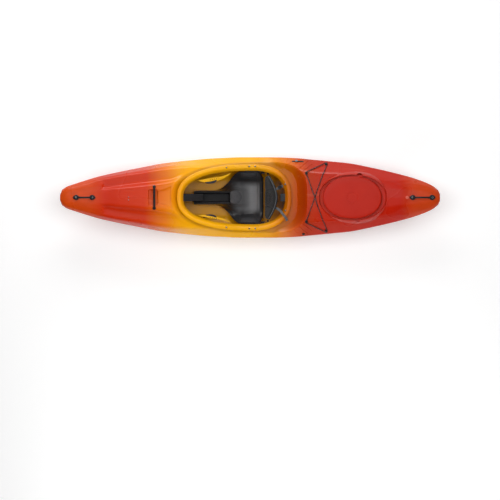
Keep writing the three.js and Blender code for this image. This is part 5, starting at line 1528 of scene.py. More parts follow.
# the seat: a moulded pan with a channelled tongue ahead of its pommel
seat = {
    "foreShare": 0.3526,
    "aftShare": 0.534,
    "width": 0.418,
    "height": 0.216,
    "skin": 0.004,
    "channel": 0.034,
    "lip": 0.004,
    "rail": 0.049,
    "rowCount": 128,
    "rows": [
        # along, half width, then heights: channel, rail, three between, side
        (0, 0.25, 0.14, 0.41, 0.33, 0.25, 0.18, 0.1),
        (0.145, 0.25, 0.14, 0.42, 0.34, 0.25, 0.17, 0.09),
        (0.319, 0.26, 0.15, 0.44, 0.36, 0.27, 0.18, 0.1),
        (0.406, 0.35, 0.16, 0.46, 0.38, 0.3, 0.24, 0.2),
        (0.464, 0.48, 0.17, 0.47, 0.39, 0.31, 0.26, 0.24),
        (0.514, 0.63, 0.18, 0.48, 0.4, 0.32, 0.28, 0.3),
        (0.53, 0.69, 0.45, 0.48, 0.4, 0.32, 0.29, 0.33),
        (0.594, 0.9, 0.49, 0.47, 0.36, 0.29, 0.38, 0.62),
        (0.667, 1, 0.4, 0.38, 0.28, 0.28, 0.5, 0.98),
        (0.739, 1, 0.28, 0.27, 0.21, 0.23, 0.52, 1.12),
        (0.826, 1, 0.21, 0.2, 0.18, 0.23, 0.54, 1.1),
        (0.913, 1, 0.29, 0.28, 0.26, 0.31, 0.56, 1.07),
        (0.949, 0.98, 0.44, 0.44, 0.43, 0.46, 0.62, 1),
        (0.986, 0.8, 0.49, 0.48, 0.47, 0.47, 0.5, 0.54),
        (1, 0.77, 0.45, 0.44, 0.43, 0.43, 0.46, 0.48),
    ],
    "pommel": (-0.119, 0.0032),
    "pommelRadius": 0.0527,
    "patchFore": -0.041,
    "patchRise": 0.0022,
    # the patch's rings: height as a share of its rise, size
    "patchRings": ((-0.001, 1), (0.6, 1), (0.9, 0.985), (1, 0.95), (1, 0.7), (1, 0.35), (1, 0.02)),
    "creaseRadii": (0.066, 0.082),
    "creaseDepth": 0.0045,
    "creaseWidth": 0.0045,
    "creaseStart": (0.35, 0.9),
    "creaseEnd": (1.9, 2.5),
    # where the pan's painted sheen lies, and how weak it is at its fore end
    "wornAcross": (0.075, 0.14),
    "wornFore": (-0.16, -0.08),
    "wornMore": (-0.06, 0.055),
    "wornAft": (0.066, 0.084),
    "wornLeast": 0.45,
    "tabLength": 0.122,
    "tabWidth": 0.058,
    "tabReach": 0.262,
    "tabRise": 0.005,
    "earLength": 0.076,
    "earThick": 0.004,
    "earLow": 0.148,
    "earHigh": 0.226,
    "earBreadth": 0.206,
}
seatCurves = [monotone(columnOf(seat["rows"], 0), columnOf(seat["rows"], k)) for k in range(1, len(seat["rows"][0]))]
seatFore, seatAft = station(seat["foreShare"]), station(seat["aftShare"])


def seatHeightAt(along, breadth):
    # breadth is 0 at the middle line, 1 at the rail and 2 at the side
    half, channel, rail, *outer = [curve(along) for curve in seatCurves]
    half *= seat["width"] / 2
    if breadth <= 1:
        y = breadth * seat["rail"]
        rise = smoothstep(y, seat["channel"], seat["channel"] + seat["lip"] * 2)
        return y, lerp(channel, rail, rise)
    across = monotone([0, 0.25, 0.5, 0.75, 1], [rail, *outer])
    return lerp(seat["rail"], half, breadth - 1), across(breadth - 1)


def hump(away, width):
    return math.exp(-((away / width) ** 2))


def seatCrease(x, y):
    # curved grooves round the pommel, deepest at its sides
    dx, dy = x - seat["pommel"][0], y - seat["pommel"][1]
    away, angle = math.hypot(dx, dy), math.atan2(abs(dy), -dx)
    fade = smoothstep(angle, *seat["creaseStart"]) * (1 - smoothstep(angle, *seat["creaseEnd"]))
    depth = sum(fade * hump(away - radius, seat["creaseWidth"]) for radius in seat["creaseRadii"])
    return depth * seat["creaseDepth"]


def makeSeat():
    # the rows' points lie closer together at the channel's lip and on the sides
    breadths = between(0, 0.68, 0.1) + between(0.7, 1, 0.05) + between(1, 2, 0.028)[1:]
    rows = []
    for i in range(seat["rowCount"] + 1):
        along = i / seat["rowCount"]
        x = lerp(seatFore, seatAft, along)
        half = []
        for breadth in breadths:
            y, share = seatHeightAt(along, breadth)
            half.append((y, share * seat["height"]))
        line = [(-y, z) for y, z in reversed(half[1:])] + half
        rows.append([Vector((x, y, z - seatCrease(x, y))) for y, z in line])
    pan = gridPiece("seat_shell", rows, seat["skin"], smoothAngle=50)
    middle = station(sum(coaming["seatBoltShares"]) / 2)
    tabZ = bowlFloor(middle) - hull["wall"] - seat["skin"] - seat["tabRise"]
    tabSize = (seat["tabLength"], seat["tabWidth"], seat["skin"])
    earX, earZ = seatAft - seat["earLength"] / 12, (seat["earLow"] + seat["earHigh"]) / 2
    earSize = (seat["earLength"], seat["earThick"], seat["earHigh"] - seat["earLow"])
    for side in (-1, 1):
        tabPlace = tilted((middle, side * (seat["tabReach"] - seat["tabWidth"] / 2), tabZ), deckSlope(middle))
        add(pan, block("tab", tabSize, tabPlace))
        earY = side * (seat["earBreadth"] + seat["earThick"] / 2)
        add(pan, block("ear", earSize, Matrix.Translation((earX, earY, earZ))))
    return pan


def trimInside(piece):
    # keeps only what lies inside the hull's skin
    return combine(piece, copied(insideRoom), "INTERSECT")


def markPaintedSheen():
    # painted sheen: the pan's middle is painted paler as a painted reflection of the light above, most of all at its
    # rear
    layer = seatPiece.data.attributes.new("worn", "FLOAT", "POINT")
    for i, vertex in enumerate(seatPiece.data.vertices):
        x, y, z = vertex.co
        across = 1 - smoothstep(abs(y), *seat["wornAcross"])
        along = smoothstep(x, *seat["wornFore"]) * (1 - smoothstep(x, *seat["wornAft"]))
        layer.data[i].value = across * along * lerp(seat["wornLeast"], 1, smoothstep(x, *seat["wornMore"]))


print("seat")
seatPiece = trimInside(makeSeat())
smoothShade(seatPiece, 40)
dressPiece(seatPiece, "seat", node="seat_pan")
markPaintedSheen()
seatTree = BVHTree.FromObject(seatPiece, bpy.context.evaluated_depsgraph_get())


def onSeat(x, y):
    return seatTree.ray_cast(Vector((x, y, hull["depth"])), -upward)[0].z


def makePatch():
    # the matt disc on the pommel, cut straight at its fore edge
    middleX, middleY = seat["pommel"]
    rings = []
    for rise, scale in seat["patchRings"]:
        ring = []
        for angle in turns(72):
            x = middleX + max(seat["patchFore"], math.cos(angle) * seat["pommelRadius"]) * scale
            y = middleY + math.sin(angle) * seat["pommelRadius"] * scale
            ring.append(Vector((x, y, onSeat(x, y) + rise * seat["patchRise"])))
        rings.append(ring)
    return loft("pommel_patch", rings, smoothAngle=45)


dressPiece(makePatch(), "patch", slot="foam")


def pillow(name, point, rows, columns, thick, gap, side=1):
    # a crowned pad on a surface: point(u, v) lies on the surface and thick(u, v) is its height over it
    def out(u, v):
        step = 0.01
        du = point(min(1, u + step), v) - point(max(0, u - step), v)
        dv = point(u, min(1, v + step)) - point(u, max(0, v - step))
        return du.cross(dv).normalized() * side

    over, under = [], []
    for i in range(rows + 1):
        for j in range(columns + 1):
            u, v = i / rows, j / columns
            normal = out(u, v)
            over.append(point(u, v) + normal * thick(u, v))
            under.append(point(u, v) + normal * gap)
    count, width = len(over), columns + 1
    faces = []
    for i in range(rows):
        for j in range(columns):
            a = i * width + j
            quad = (a, a + 1, a + width + 1, a + width)
            faces += [quad, tuple(k + count for k in reversed(quad))]
    for i in range(rows):
        for a in (i * width, i * width + columns):
            faces.append((a, a + width, a + width + count, a + count))
    for j in range(columns):
        for a in (j, rows * width + j):
            faces.append((a, a + 1, a + 1 + count, a + count))
    piece = pieceFrom(name, over + under, faces, 50)
    layer = piece.data.uv_layers.new(name="UVMap")
    length, breadth = (point(1, 0.5) - point(0, 0.5)).length, (point(0.5, 1) - point(0.5, 0)).length
    for loop in piece.data.loops:
        i, j = divmod(loop.vertex_index % count, width)
        layer.data[loop.index].uv = (i / rows * length, j / columns * breadth)
    return piece


def crownShare(u, v, power=0.5):
    return (max(0, math.sin(math.pi * u)) ** power) * (max(0, math.sin(math.pi * v)) ** power)


hipPad = {
    "thick": 0.02,
    "gap": 0.0004,
    "fore": 0.667,
    "aft": 0.913,
    "low": 0.7625,
    "high": 0.955,
    "rows": 30,
    "columns": 18,
    "edgeShare": 0.22,
    "seam": 0.09,
    "seamWidth": 0.02,
    "seamDeep": 0.35,
}


def makeHipPad(name, side):
    def point(u, v):
        along = lerp(hipPad["fore"], hipPad["aft"], u)
        y, share = seatHeightAt(along, 1 + lerp(hipPad["low"], hipPad["high"], v))
        return Vector((lerp(seatFore, seatAft, along), side * y, share * seat["height"]))

    def thick(u, v):
        edge = min(u, 1 - u, v, 1 - v)
        seam = 1 - hipPad["seamDeep"] * hump(edge - hipPad["seam"], hipPad["seamWidth"])
        return hipPad["thick"] * lerp(hipPad["edgeShare"], 1, crownShare(u, v)) * seam

    rows, columns = hipPad["rows"], hipPad["columns"]
    piece = pillow("hip_cushion_" + name, point, rows, columns, thick, hipPad["gap"], side)
    dressPiece(piece, "foam", node="hip_pad_" + name)


for name, side in boatSides:
    makeHipPad(name, side)

# thigh braces: hooks under the coaming, the port one set further out
brace = {
    "foreShare": 0.3605,
    "aftShare": 0.4526,
    "skin": 0.005,
    "gap": 0.0003,
    "outboard": 0.046,
    "edgeAcross": 0.4,
    "curl": 0.02,
    "curlPower": 2.3,
    "reach": {"port": 0.038, "starboard": 0.062},
    "reachShares": (0.1, 0.62, 0.9, 1, 0.97, 0.86, 0.56, 0.1),
    "rows": 56,
    "columns": 40,
    "holes": [0.38, 0.44, 0.5, 0.56, 0.62],
    "holeRadius": 0.0032,
    "holeAcross": 0.84,
    "holeReach": 0.02,
    "screwAlong": 0.3,
    "screwLift": 0.0002,
    "padLength": 0.056,
    "padWidth": 0.034,
    "padThick": 0.017,
    "padShare": 0.3947,
    "padInboard": 0.62,
    "padGap": 0.0008,
    "padSteps": (14, 12),
    "padClear": 0.07,
    # the cushion's rings: size, height as a share of its thickness
    "padRings": ((0.6, -1), (0.84, -0.98), (0.95, -0.85), (1, -0.6), (1, 0), (0.985, 0.5), (0.95, 0.8)),
}
braceSpan = (station(brace["foreShare"]), station(brace["aftShare"]))
reachCurve = monotone([i / 7 for i in range(8)], list(brace["reachShares"]))


def bracePoint(name, side, along, across):
    # across runs from the outboard edge, 0, by the coaming's edge to the hook's tip, 1
    x, split = lerp(*braceSpan, along), brace["edgeAcross"]
    edge, share = edgeBreadth(x), reachCurve(along)
    top = bowlFloor(x) - hull["wall"] - brace["gap"]
    if across < split:
        return Vector((x, side * (edge + brace["outboard"] * (1 - across / split)), top))
    t = (across - split) / (1 - split)
    y = side * (edge - brace["reach"][name] * share * t)
    return Vector((x, y, top - brace["curl"] * share * t ** brace["curlPower"]))


def braceRows(name, side, rows, columns, drop=0):
    made = []
    for i in range(rows + 1):
        row = [bracePoint(name, side, i / rows, j / columns) - upward * drop for j in range(columns + 1)]
        made.append(row if side < 0 else row[::-1])
    return made


def screwProfile(radius, height):
    # a domed head with a small socket
    return [
        (radius * 0.6, -height * 0.6),
        (radius, -height * 0.1),
        (radius, height * 0.15),
        (radius * 0.93, height * 0.55),
        (radius * 0.72, height * 0.86),
        (radius * 0.5, height),
        (radius * 0.42, height),
        (radius * 0.36, height * 0.35),
        (0, height * 0.3),
    ]


def makeBrace(name, side):
    rows = braceRows(name, side, brace["rows"], brace["columns"])
    piece = gridPiece("thigh_hook_" + name, rows, brace["skin"], smoothAngle=45)
    hole = superOval(brace["holeRadius"], brace["holeRadius"], 16)
    for along in brace["holes"]:
        middle = bracePoint(name, side, along, brace["holeAcross"])
        cut(piece, prism("hole", hole, -brace["holeReach"], brace["holeReach"], Matrix.Translation(middle)))
    trimInside(piece)
    smoothShade(piece, 45)
    dressPiece(piece, "brace", node="thigh_brace_" + name)
    screw = bracePoint(name, side, brace["screwAlong"], brace["holeAcross"]) + upward * brace["screwLift"]
    turnedPiece("brace_screw_" + name, screwProfile(0.0055, 0.003), 20, Matrix.Translation(screw), "steel")


def makeThighPad(name, side):
    x = station(brace["padShare"])
    y = side * (edgeBreadth(x) - brace["reach"][name] + brace["padWidth"] * brace["padInboard"])
    place = tilted((x, y, bowlFloor(x) - hull["wall"] - brace["curl"] - brace["skin"]), deckSlope(x))
    rings = []
    for scale, height in brace["padRings"]:
        outline = superOval(brace["padLength"] * scale, brace["padWidth"] * scale, 56, 2.2)
        rings.append([place @ Vector((a, b, height * brace["padThick"])) for a, b in outline])
    piece = loft("thigh_cushion_" + name, rings, smoothAngle=50)
    # all that lies over the hook's under side is cut off
    above = gridPiece("above", braceRows(name, side, *brace["padSteps"], brace["skin"] + brace["padGap"]), 0)
    addWall(above, brace["padClear"], 1, even=False)
    cut(piece, above)
    trimInside(piece)
    smoothShade(piece, 50)
    dressPiece(piece, "foam", node="thigh_pad_" + name)


print("thigh braces")
for name, side in boatSides:
    makeBrace(name, side)
    makeThighPad(name, side)


# the backband: a padded face in three panels on a stiff back
band = {
    "foreShare": 0.5375,
    "halfWidth": 0.168,
    "foot": 0.15,
    "top": 0.303,
    "endDrop": 0.062,
    "endPower": 2.2,
    "footRise": 0.1,
    "lean": 0.086,
    "leanFade": 0.78,
    "leanPower": 1.8,
    "leanCurve": 1.1,
    "pad": 0.022,
    "skin": 0.004,
    "rows": 40,
    "columns": 120,
    "edgeShare": 0.35,
    # the port seam slants and the starboard one is straight: its foot and top
    "seams": {-1: (-0.37, -0.5), 1: (0.36, 0.36)},
    "seamWidth": 0.016,
    "seamDeep": 0.34,
    "ring": (-0.02, 0.46, 0.27, 0.25),
    "ringPuff": 0.0035,
    "ringWidth": 0.09,
    "ringInner": 0.62,
    "piping": 0.0032,
    # the piping's two runs: height on the face, thickness
    "pipingRuns": {"top": (0.985, 1.0), "foot": (0.015, 0.6)},
    "pipingDeep": 0.62,
    "pipingReach": 0.985,
    "pipingAround": 10,
    "stitch": {"gap": 0.0045, "length": 0.0032, "radius": 0.0005, "around": 6, "beside": 0.026, "lift": 0.0002},
    "knob": [(0.004, -0.001), (0.004, 0.004), (0.007, 0.005), (0.0075, 0.008), (0.006, 0.01), (0.0, 0.0105)],
    "knobPlace": (0.72, 0.55),
}
bandFore = station(band["foreShare"])


def bandPoint(across, up):
    reach = abs(across)
    top = band["top"] - band["endDrop"] * reach ** band["endPower"]
    foot = band["foot"] + band["endDrop"] * band["footRise"] * reach
    lean = band["lean"] * (1 - band["leanFade"] * reach ** band["leanPower"])
    return Vector((bandFore + lean * up ** band["leanCurve"], band["halfWidth"] * across, lerp(foot, top, up)))


def bandOut(across, up):
    du = bandPoint(across, min(1, up + 0.01)) - bandPoint(across, max(0, up - 0.01))
    dv = bandPoint(min(1, across + 0.01), up) - bandPoint(max(-1, across - 0.01), up)
    out = du.cross(dv).normalized()
    return out if out.x < 0 else -out


def bandSurface(u, v):
    return bandPoint(2 * v - 1, u)


def seamAt(up, side):
    return lerp(*band["seams"][side], up)


def bandThick(u, v):
    # the face's height over its seat, lower at the edges, the two seams and the stitched rings
    across = 2 * v - 1
    edge = max(0, 1 - abs(2 * u - 1) ** 6) * max(0, 1 - abs(across) ** 8)
    height = lerp(band["edgeShare"], 1, edge ** 0.5)
    for side in (-1, 1):
        height *= 1 - band["seamDeep"] * hump(across - seamAt(u, side), band["seamWidth"])
    x, y, halfWide, halfHigh = band["ring"]
    away = math.hypot((across - x) / halfWide, (u - y) / halfHigh)
    groove = hump(away - 1, band["ringWidth"]) + hump(away - band["ringInner"], band["ringWidth"])
    return band["pad"] * height - groove * band["ringPuff"] - band["pad"]


def bandLine(points, offset):
    return [bandPoint(across, up) + bandOut(across, up) * offset for across, up in points]


def flatUv(piece, around, step):
    # metres along a tube and round it, from its rings
    layer = piece.data.uv_layers.new(name="UVMap")
    for loop in piece.data.loops:
        ring, k = divmod(loop.vertex_index, around)
        layer.data[loop.index].uv = (ring * step, k * step / 4)


def stitchRow(name, line):
    # short raised stitches along a line
    stitch = band["stitch"]
    stitches, travelled, following = [], 0, 0
    for a, b in zip(line, line[1:]):
        travelled += (b - a).length
        if travelled < following:
            continue
        following = travelled + stitch["gap"]
        along = (b - a).normalized() * stitch["length"] / 2
        ends = [b - along, b - along * 0.4, b + along * 0.4, b + along]
        stitches.append(tube(name, ends, stitch["radius"], stitch["around"]))
    return join(name, stitches)


def stitchLines():
    # both sides of each seam, then the ring
    lines = []
    for side in (-1, 1):
        for shift in (-band["stitch"]["beside"], band["stitch"]["beside"]):
            lines.append([(seamAt(k / 40, side) + shift, lerp(0.06, 0.94, k / 40)) for k in range(41)])
    x, y, halfWide, halfHigh = band["ring"]
    angles = turns(60) + [2 * math.pi]
    return lines + [[(x + halfWide * math.cos(a), y + halfHigh * math.sin(a)) for a in angles]]


print("backband")
bandMiddle = bandSurface(0.5, 0.5)
bandNormal = (bandSurface(0.51, 0.5) - bandMiddle).cross(bandSurface(0.5, 0.51) - bandMiddle)
bandSide = 1 if bandNormal.x < 0 else -1
bandPad = pillow("backband_face", bandSurface, band["rows"], band["columns"], bandThick, -band["pad"], bandSide)
dressPiece(bandPad, "cloth", "backband", "backband_pad")
for name, (height, scale) in band["pipingRuns"].items():
    points = [(lerp(-band["pipingReach"], band["pipingReach"], k / 80), height) for k in range(81)]
    line = bandLine(points, -band["pad"] * band["pipingDeep"])
    piping = tube("backband_piping_" + name, line, band["piping"] * scale, band["pipingAround"])
    flatUv(piping, band["pipingAround"], 0.0042)
    dressPiece(piping, "webbing", "backband")
rows = []
for i, points in enumerate(stitchLines()):
    line = []
    for across, up in points:
        height = bandThick(up, (across + 1) / 2) + band["stitch"]["lift"]
        line.append(bandPoint(across, up) + bandOut(across, up) * height)
    rows.append(stitchRow("stitches_%d" % i, line))
stitching = join("backband_stitching", rows)
flatUv(stitching, band["stitch"]["around"], 0.001)
dressPiece(stitching, "webbing", "backband")

print("fittings")
fittings = {
    "round": {
        # node, or the name that a port and a starboard node share: how far its edges are rounded
        "bow_pillar": 0.007,
        "stern_pillar": 0.007,
        "rear_bulkhead": 0.004,
        "backband_shell": 0.0012,
        "foot_rail": 0.0016,
        "foot_peg": 0.0022,
        "foot_peg_trigger": 0.0009,
        "ratchet": 0.0009,
        "ratchet_lever": 0.0008,
        "skeg_trunk": 0.0015,
        "skeg_blade": 0.0025,
        "skeg_slider_track": 0.0008,
        "hatch_seal": 0.0008,
    },
    "trimmed": ["bow_pillar", "stern_pillar", "rear_bulkhead"],
    "boltRadius": 0.0072,
    "boltRise": 0.004,
    "shankRadius": 0.003,
    "rivets": [(-0.974, 0.0025), (-0.974, -0.02)],
    "rivetRadius": 0.0042,
    # station and breadth as shares
    "bungeeButtons": {"fore": (0.6484, 0.597), "aft": (0.7005, 0.815)},
    "shoulderButton": (0.6408, -0.903),
    "plugShare": 0.9137,
    "plugGrip": (0.0125, 0.0028, 0.0022),
    "gripRise": 0.0062,
}
for name, width in fittings["round"].items():
    trim = trimInside if name in fittings["trimmed"] else None
    for node in [name] if name in nodeFinish else [name + "_port", name + "_starboard"]:
        finished(node, node + "_finished", width, trim=trim)

# buttons that the bungee runs round, and the plain one on the port shoulder
buttonProfile = [(0.0102, -0.006), (0.012, -0.004), (0.012, 0.0025), (0.0112, 0.0042), (0.0085, 0.005)]
buttonProfile += [(0.0056, 0.0054), (0.0046, 0.007), (0.0045, 0.0118), (0.006, 0.0132), (0.0092, 0.0136)]
buttonProfile += [(0.0102, 0.0146), (0.0098, 0.0158), (0.0078, 0.0168), (0.0048, 0.0173), (0.004, 0.0172)]
buttonProfile += [(0.0034, 0.016), (0.0, 0.0158)]
shoulderProfile = [(0.01, -0.006), (0.012, -0.003), (0.0122, 0.0018), (0.0112, 0.004), (0.0082, 0.0056)]
shoulderProfile += [(0.004, 0.006), (0.0034, 0.0052), (0.0, 0.005)]
for sideName, side in boatSides:
    for where, (share, breadth) in fittings["bungeeButtons"].items():
        node = "bungee_button_%s_%s" % (sideName, where)
        place = deckPlace(station(share), side * breadth * hull["halfBeam"])
        turnedPiece(node + "_finished", buttonProfile, 40, place, "black_plastic", node=node)
share, breadth = fittings["shoulderButton"]
place = deckPlace(station(share), breadth * hull["halfBeam"])
turnedPiece("shoulder_button_finished", shoulderProfile, 40, place, "black_plastic", node="shoulder_button")

# the skeg's slider knob, and the drain plug with a ridge for grip
knobProfile = [(0.0017, -0.005), (0.0017, 0.003), (0.0058, 0.0034), (0.0088, 0.0052), (0.0103, 0.0066)]
knobProfile += [(0.0104, 0.0086), (0.0096, 0.01), (0.008, 0.0109), (0.0062, 0.0109), (0.0052, 0.0098), (0.0, 0.0094)]
place = moved(sliderPlace, (sliderSlot["knobShare"] - sliderSlot["stationShare"]) * hull["length"])
turnedPiece("slider_knob_finished", knobProfile, 40, place, "grey_plastic", "skeg_slider", "skeg_slider_knob")
plugProfile = [(0.0064, -0.016), (0.008, -0.008), (0.008, 0.0003), (0.0125, 0.0004), (0.013, 0.0015), (0.013, 0.0044)]
plugProfile += [(0.0118, 0.0062), (0.0092, 0.007), (0.0074, 0.0069), (0.0066, 0.0058), (0.0, 0.0055)]
plugPlace = deckPlace(station(fittings["plugShare"]), 0)
plugPiece = turned("drain_plug_finished", plugProfile, 48, plugPlace)
grip = rounded(addCube("grip", fittings["plugGrip"]), 0.0007)
add(plugPiece, settle(grip, moved(plugPlace, z=fittings["gripRise"])))
smoothShade(plugPiece, 35)
dressPiece(plugPiece, "plug", "drain", "drain_plug")

# bolts: a turned head and shank with a round socket; radius and height as shares of the head's
boltHead = [(1.0, 0.0), (1.0, 0.3), (0.95, 0.62), (0.8, 0.88), (0.6, 1.0), (0.45, 1.0)]
boltSocket = [(0.44, 0.4), (0.0, 0.4)]


def makeBolt(node):
    low, high = nodeBox(node)
    middle, radius, rise = (low + high) / 2, fittings["boltRadius"], fittings["boltRise"]
    seatZ = high.z - rise
    profile = [(fittings["shankRadius"], low.z), (fittings["shankRadius"], seatZ)]
    profile += [(r * radius, seatZ + z * rise) for r, z in boltHead + boltSocket]
    turnedPiece(node + "_finished", profile, 32, Matrix.Translation((middle.x, middle.y, 0)), "steel", node=node)


def makeRailBolt(node):
    # its axis runs out through the side, so the head is turned about the shank's own line
    vertices = bpy.data.objects[node].data.vertices
    points = sorted((vertex.co.copy() for vertex in vertices), key=lambda point: abs(point.y))
    inner, outer = sum(points[:8], Vector()) / 8, sum(points[-10:], Vector()) / 10
    shank = fittings["shankRadius"]
    profile = [(shank, -(outer - inner).length), (shank, -0.003), (0.008, -0.003), (0.008, -0.0012)]
    profile += [(0.0072, 0.0004), (0.005, 0.0012), (0.0036, 0.0012), (0.003, -0.0008), (0.0, -0.0009)]
    turnedPiece(node + "_finished", profile, 32, basis(outer, (1, 0, 0), outer - inner), "steel", node=node)


for node in nodeFinish:
    if "_bolt_" in node and not node.startswith("foot_rail"):
        makeBolt(node)
for node in nodeFinish:
    if node.startswith("foot_rail_bolt_"):
        makeRailBolt(node)
low, high = nodeBox("skeg_pivot_pin")
pin = rounded(addCylinder("skeg_pin_finished", (high.z - low.z) / 2, high.y - low.y), 0.0006)
settle(pin, athwart((low + high) / 2))
dressPiece(pin, "steel", nodeBody["skeg_pivot_pin"], "skeg_pivot_pin")

# two small rivets on the fore deck
radius = fittings["rivetRadius"]
rivetProfile = [(radius, -0.001), (radius, 0.0003), (radius * 0.8, 0.0013), (radius * 0.4, 0.0019), (0, 0.002)]
for i, (x, y) in enumerate(fittings["rivets"]):
    turnedPiece("deck_rivet_%d" % i, rivetProfile, 24, deckPlace(x, y), "steel")

# grab handles: a slim strap arched between two drop shaped caps with domed screws
handles = {
    "strapWidth": 0.016,
    "strapThick": 0.0085,
    "strapSteps": 32,
    "archPower": 2.6,
    "waist": 0.16,
    "capLength": 0.05,
    "capWidth": 0.043,
    "capHeight": 0.0098,
    "capTaper": 0.38,
    # the cap's rings: size, height as a share of its own
    "capRings": (
        (1.0, -0.9),
        (1.0, 0.3),
        (0.985, 0.52),
        (0.93, 0.78),
        (0.84, 0.94),
        (0.7, 1.0),
        (0.5, 0.97),
        (0.42, 0.9),
        (0.05, 0.9),
    ),
    "pairs": {
        "bow_handle": {"shares": (0.042, 0.0855), "rise": 0.036},
        "stern_handle": {"shares": (0.9275, 0.98), "rise": 0.04},
    },
}


def makeStrap(name, ends, rise):
    # a bar is cut into steps along its length, then lifted to the arch
    fore, aft = (Vector((station(share), 0, bareDeck(station(share), 0))) for share in ends)
    span, steps = (aft - fore).length, handles["strapSteps"]
    strap = addCube(name, (span, handles["strapWidth"], handles["strapThick"]))
    for k in range(1, steps):
        editFaces(strap)
        bpy.ops.mesh.bisect(plane_co=((k / steps - 0.5) * span, 0, 0), plane_no=(1, 0, 0))
        leaveEdit()
    for vertex in strap.data.vertices:
        t = vertex.co.x / span + 0.5
        arch = 1 - abs(2 * t - 1) ** handles["archPower"]
        middle = fore.lerp(aft, t)
        lift = handles["capHeight"] * 0.5 - handles["strapThick"] / 2 + rise * arch
        y = vertex.co.y * (1 - handles["waist"] * arch)
        vertex.co = Vector((middle.x, y, middle.z + vertex.co.z + lift))
    turnOutwards(strap)
    return rounded(strap, 0.0018, 3, 50)


def makeCap(place, outward):
    # narrow towards the boat's end, with a dished top round its screw
    halfLength = handles["capLength"] / 2
    rings = []
    for scale, height in handles["capRings"]:
        ring = []
        for a, b in superOval(halfLength, handles["capWidth"] / 2, 48, 2.2):
            taper = 1 - handles["capTaper"] * max(0, a * outward) / halfLength
            ring.append(place @ Vector((a * scale, b * taper * scale, height * handles["capHeight"])))
        rings.append(ring)
    return loft("cap", rings, smoothAngle=45)


for name, look in handles["pairs"].items():
    handlePiece = makeStrap(name + "_finished", look["shares"], look["rise"])
    for share, end, outward in zip(look["shares"], ("fore", "aft"), (-1, 1)):
        place = deckPlace(station(share), 0)
        add(handlePiece, makeCap(place, outward))
        place = moved(place, z=handles["capHeight"] * 1.02)
        turnedPiece("%s_screw_%s" % (name, end), screwProfile(0.0072, 0.004), 32, place, "steel")
    smoothShade(handlePiece, 40)
    dressPiece(handlePiece, "black_plastic", node=name)

# the bar over the fore deck's recess, on two rounded feet
bar = {
    "length": 0.186,
    "rise": 0.009,  # how far the bar's top stands over the depth
    "endInset": 0.0028,
    "edgeRound": 0.003,
    "footRadius": 0.0145,
    "footHeight": 0.02,
    "footTop": 0.86,
    "footPlace": (0.086, -0.0035),
}
barHeight = hull["depth"] + bar["rise"] - foreDeck["barRadius"]
barPiece = addCylinder("deck_bar_finished", foreDeck["barRadius"], bar["length"])
editFaces(barPiece, lambda face: abs(face.normal.z) > 0.9)
bpy.ops.mesh.inset(thickness=bar["endInset"])
leaveEdit()
rounded(barPiece, bar["edgeRound"], 4)
settle(barPiece, athwart((barX, 0, barHeight)))
for side in (-1, 1):
    foot = addCylinder("foot", bar["footRadius"], bar["footHeight"])
    editFaces(foot, facesUp)
    bpy.ops.transform.resize(value=(bar["footTop"], bar["footTop"], 1))
    leaveEdit()
    rounded(foot, bar["edgeRound"], 3)
    settle(foot, Matrix.Translation((barX, side * bar["footPlace"][0], barHeight + bar["footPlace"][1])))
    add(barPiece, foot)
smoothShade(barPiece, 40)
dressPiece(barPiece, "black_plastic", node="deck_bar")
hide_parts("deck_bar")

print("hatch cover")
cover = {
    "skirt": 0.017,
    "plate": 0.006,
    "seal": 0.0026,
    "rings": [
        # in from the edge, height over the rim's plane
        (0.0, -0.017),
        (0.0, -0.0035),
        (0.0007, -0.0012),
        (0.0022, 0.0008),
        (0.0045, 0.0021),
        (0.0085, 0.0032),
        (0.015, 0.0041),
        (0.028, 0.005),
        (0.05, 0.0056),
        (0.08, 0.006),
        (0.11, 0.0062),
        (0.14, 0.0063),
        (0.16, 0.0063),
    ],
    "badgeRing": (0.97, 0.0014),  # radius as a share of the badge's, thickness
    "tab": {"size": (0.03, 0.02, 0.006), "place": (0.07, 0.168, 0.0015)},
}
coverPiece = ovalLoft("hatch_cover_finished", *cover["rings"])
skirtWall, under = hatch["skirtWall"], cover["seal"] - cover["plate"]
cut(coverPiece, ovalLoft("pocket", (skirtWall, -cover["skirt"] - 0.02), (skirtWall, under)))
deselectAll()
ringShare, ringRadius = cover["badgeRing"]
bpy.ops.mesh.primitive_torus_add(
    major_radius=hatch["badge"] * ringShare, minor_radius=ringRadius, major_segments=96, minor_segments=10
)
cut(coverPiece, settle(bpy.context.object, moved(hatchPlace, z=cover["rings"][-1][1])))
tab = rounded(addCube("tab", cover["tab"]["size"]), 0.0025, 4)
add(coverPiece, settle(tab, moved(hatchPlace, *cover["tab"]["place"])))
smoothShade(coverPiece, 35)
dressPiece(coverPiece, "hatch", "hatch_lid", "hatch_cover")

print("straps")
strapLook = {
    "width": 0.019,
    "thick": 0.0018,
    "lift": 0.0019,
    "steps": 12,
    "lines": {
        "rear_strap_starboard": [
            (0.1821, 0.054, 0.252),
            (0.24, 0.082, 0.23),
            (0.2769, 0.102, 0.216),
            (0.2931, 0.111, 0.215),
        ],
        "rear_strap_port": [
            (0.1781, -0.072, 0.244),
            (0.2361, -0.1, 0.268),
            (0.262, -0.132, 0.274),
            (0.284, -0.16, 0.268),
            (0.2989, -0.187, 0.244),
        ],
    },
}


def openCurve(points, steps):
    # a smooth line through the points
    made = []
    for i in range(len(points) - 1):
        before, start = points[max(i - 1, 0)], points[i]
        end, after = points[i + 1], points[min(i + 2, len(points) - 1)]
        leave, arrive = (end - before) / 2, (after - start) / 2
        made += [hermite(start, end, leave, arrive, k / steps) for k in range(steps)]
    return made + [points[-1]]


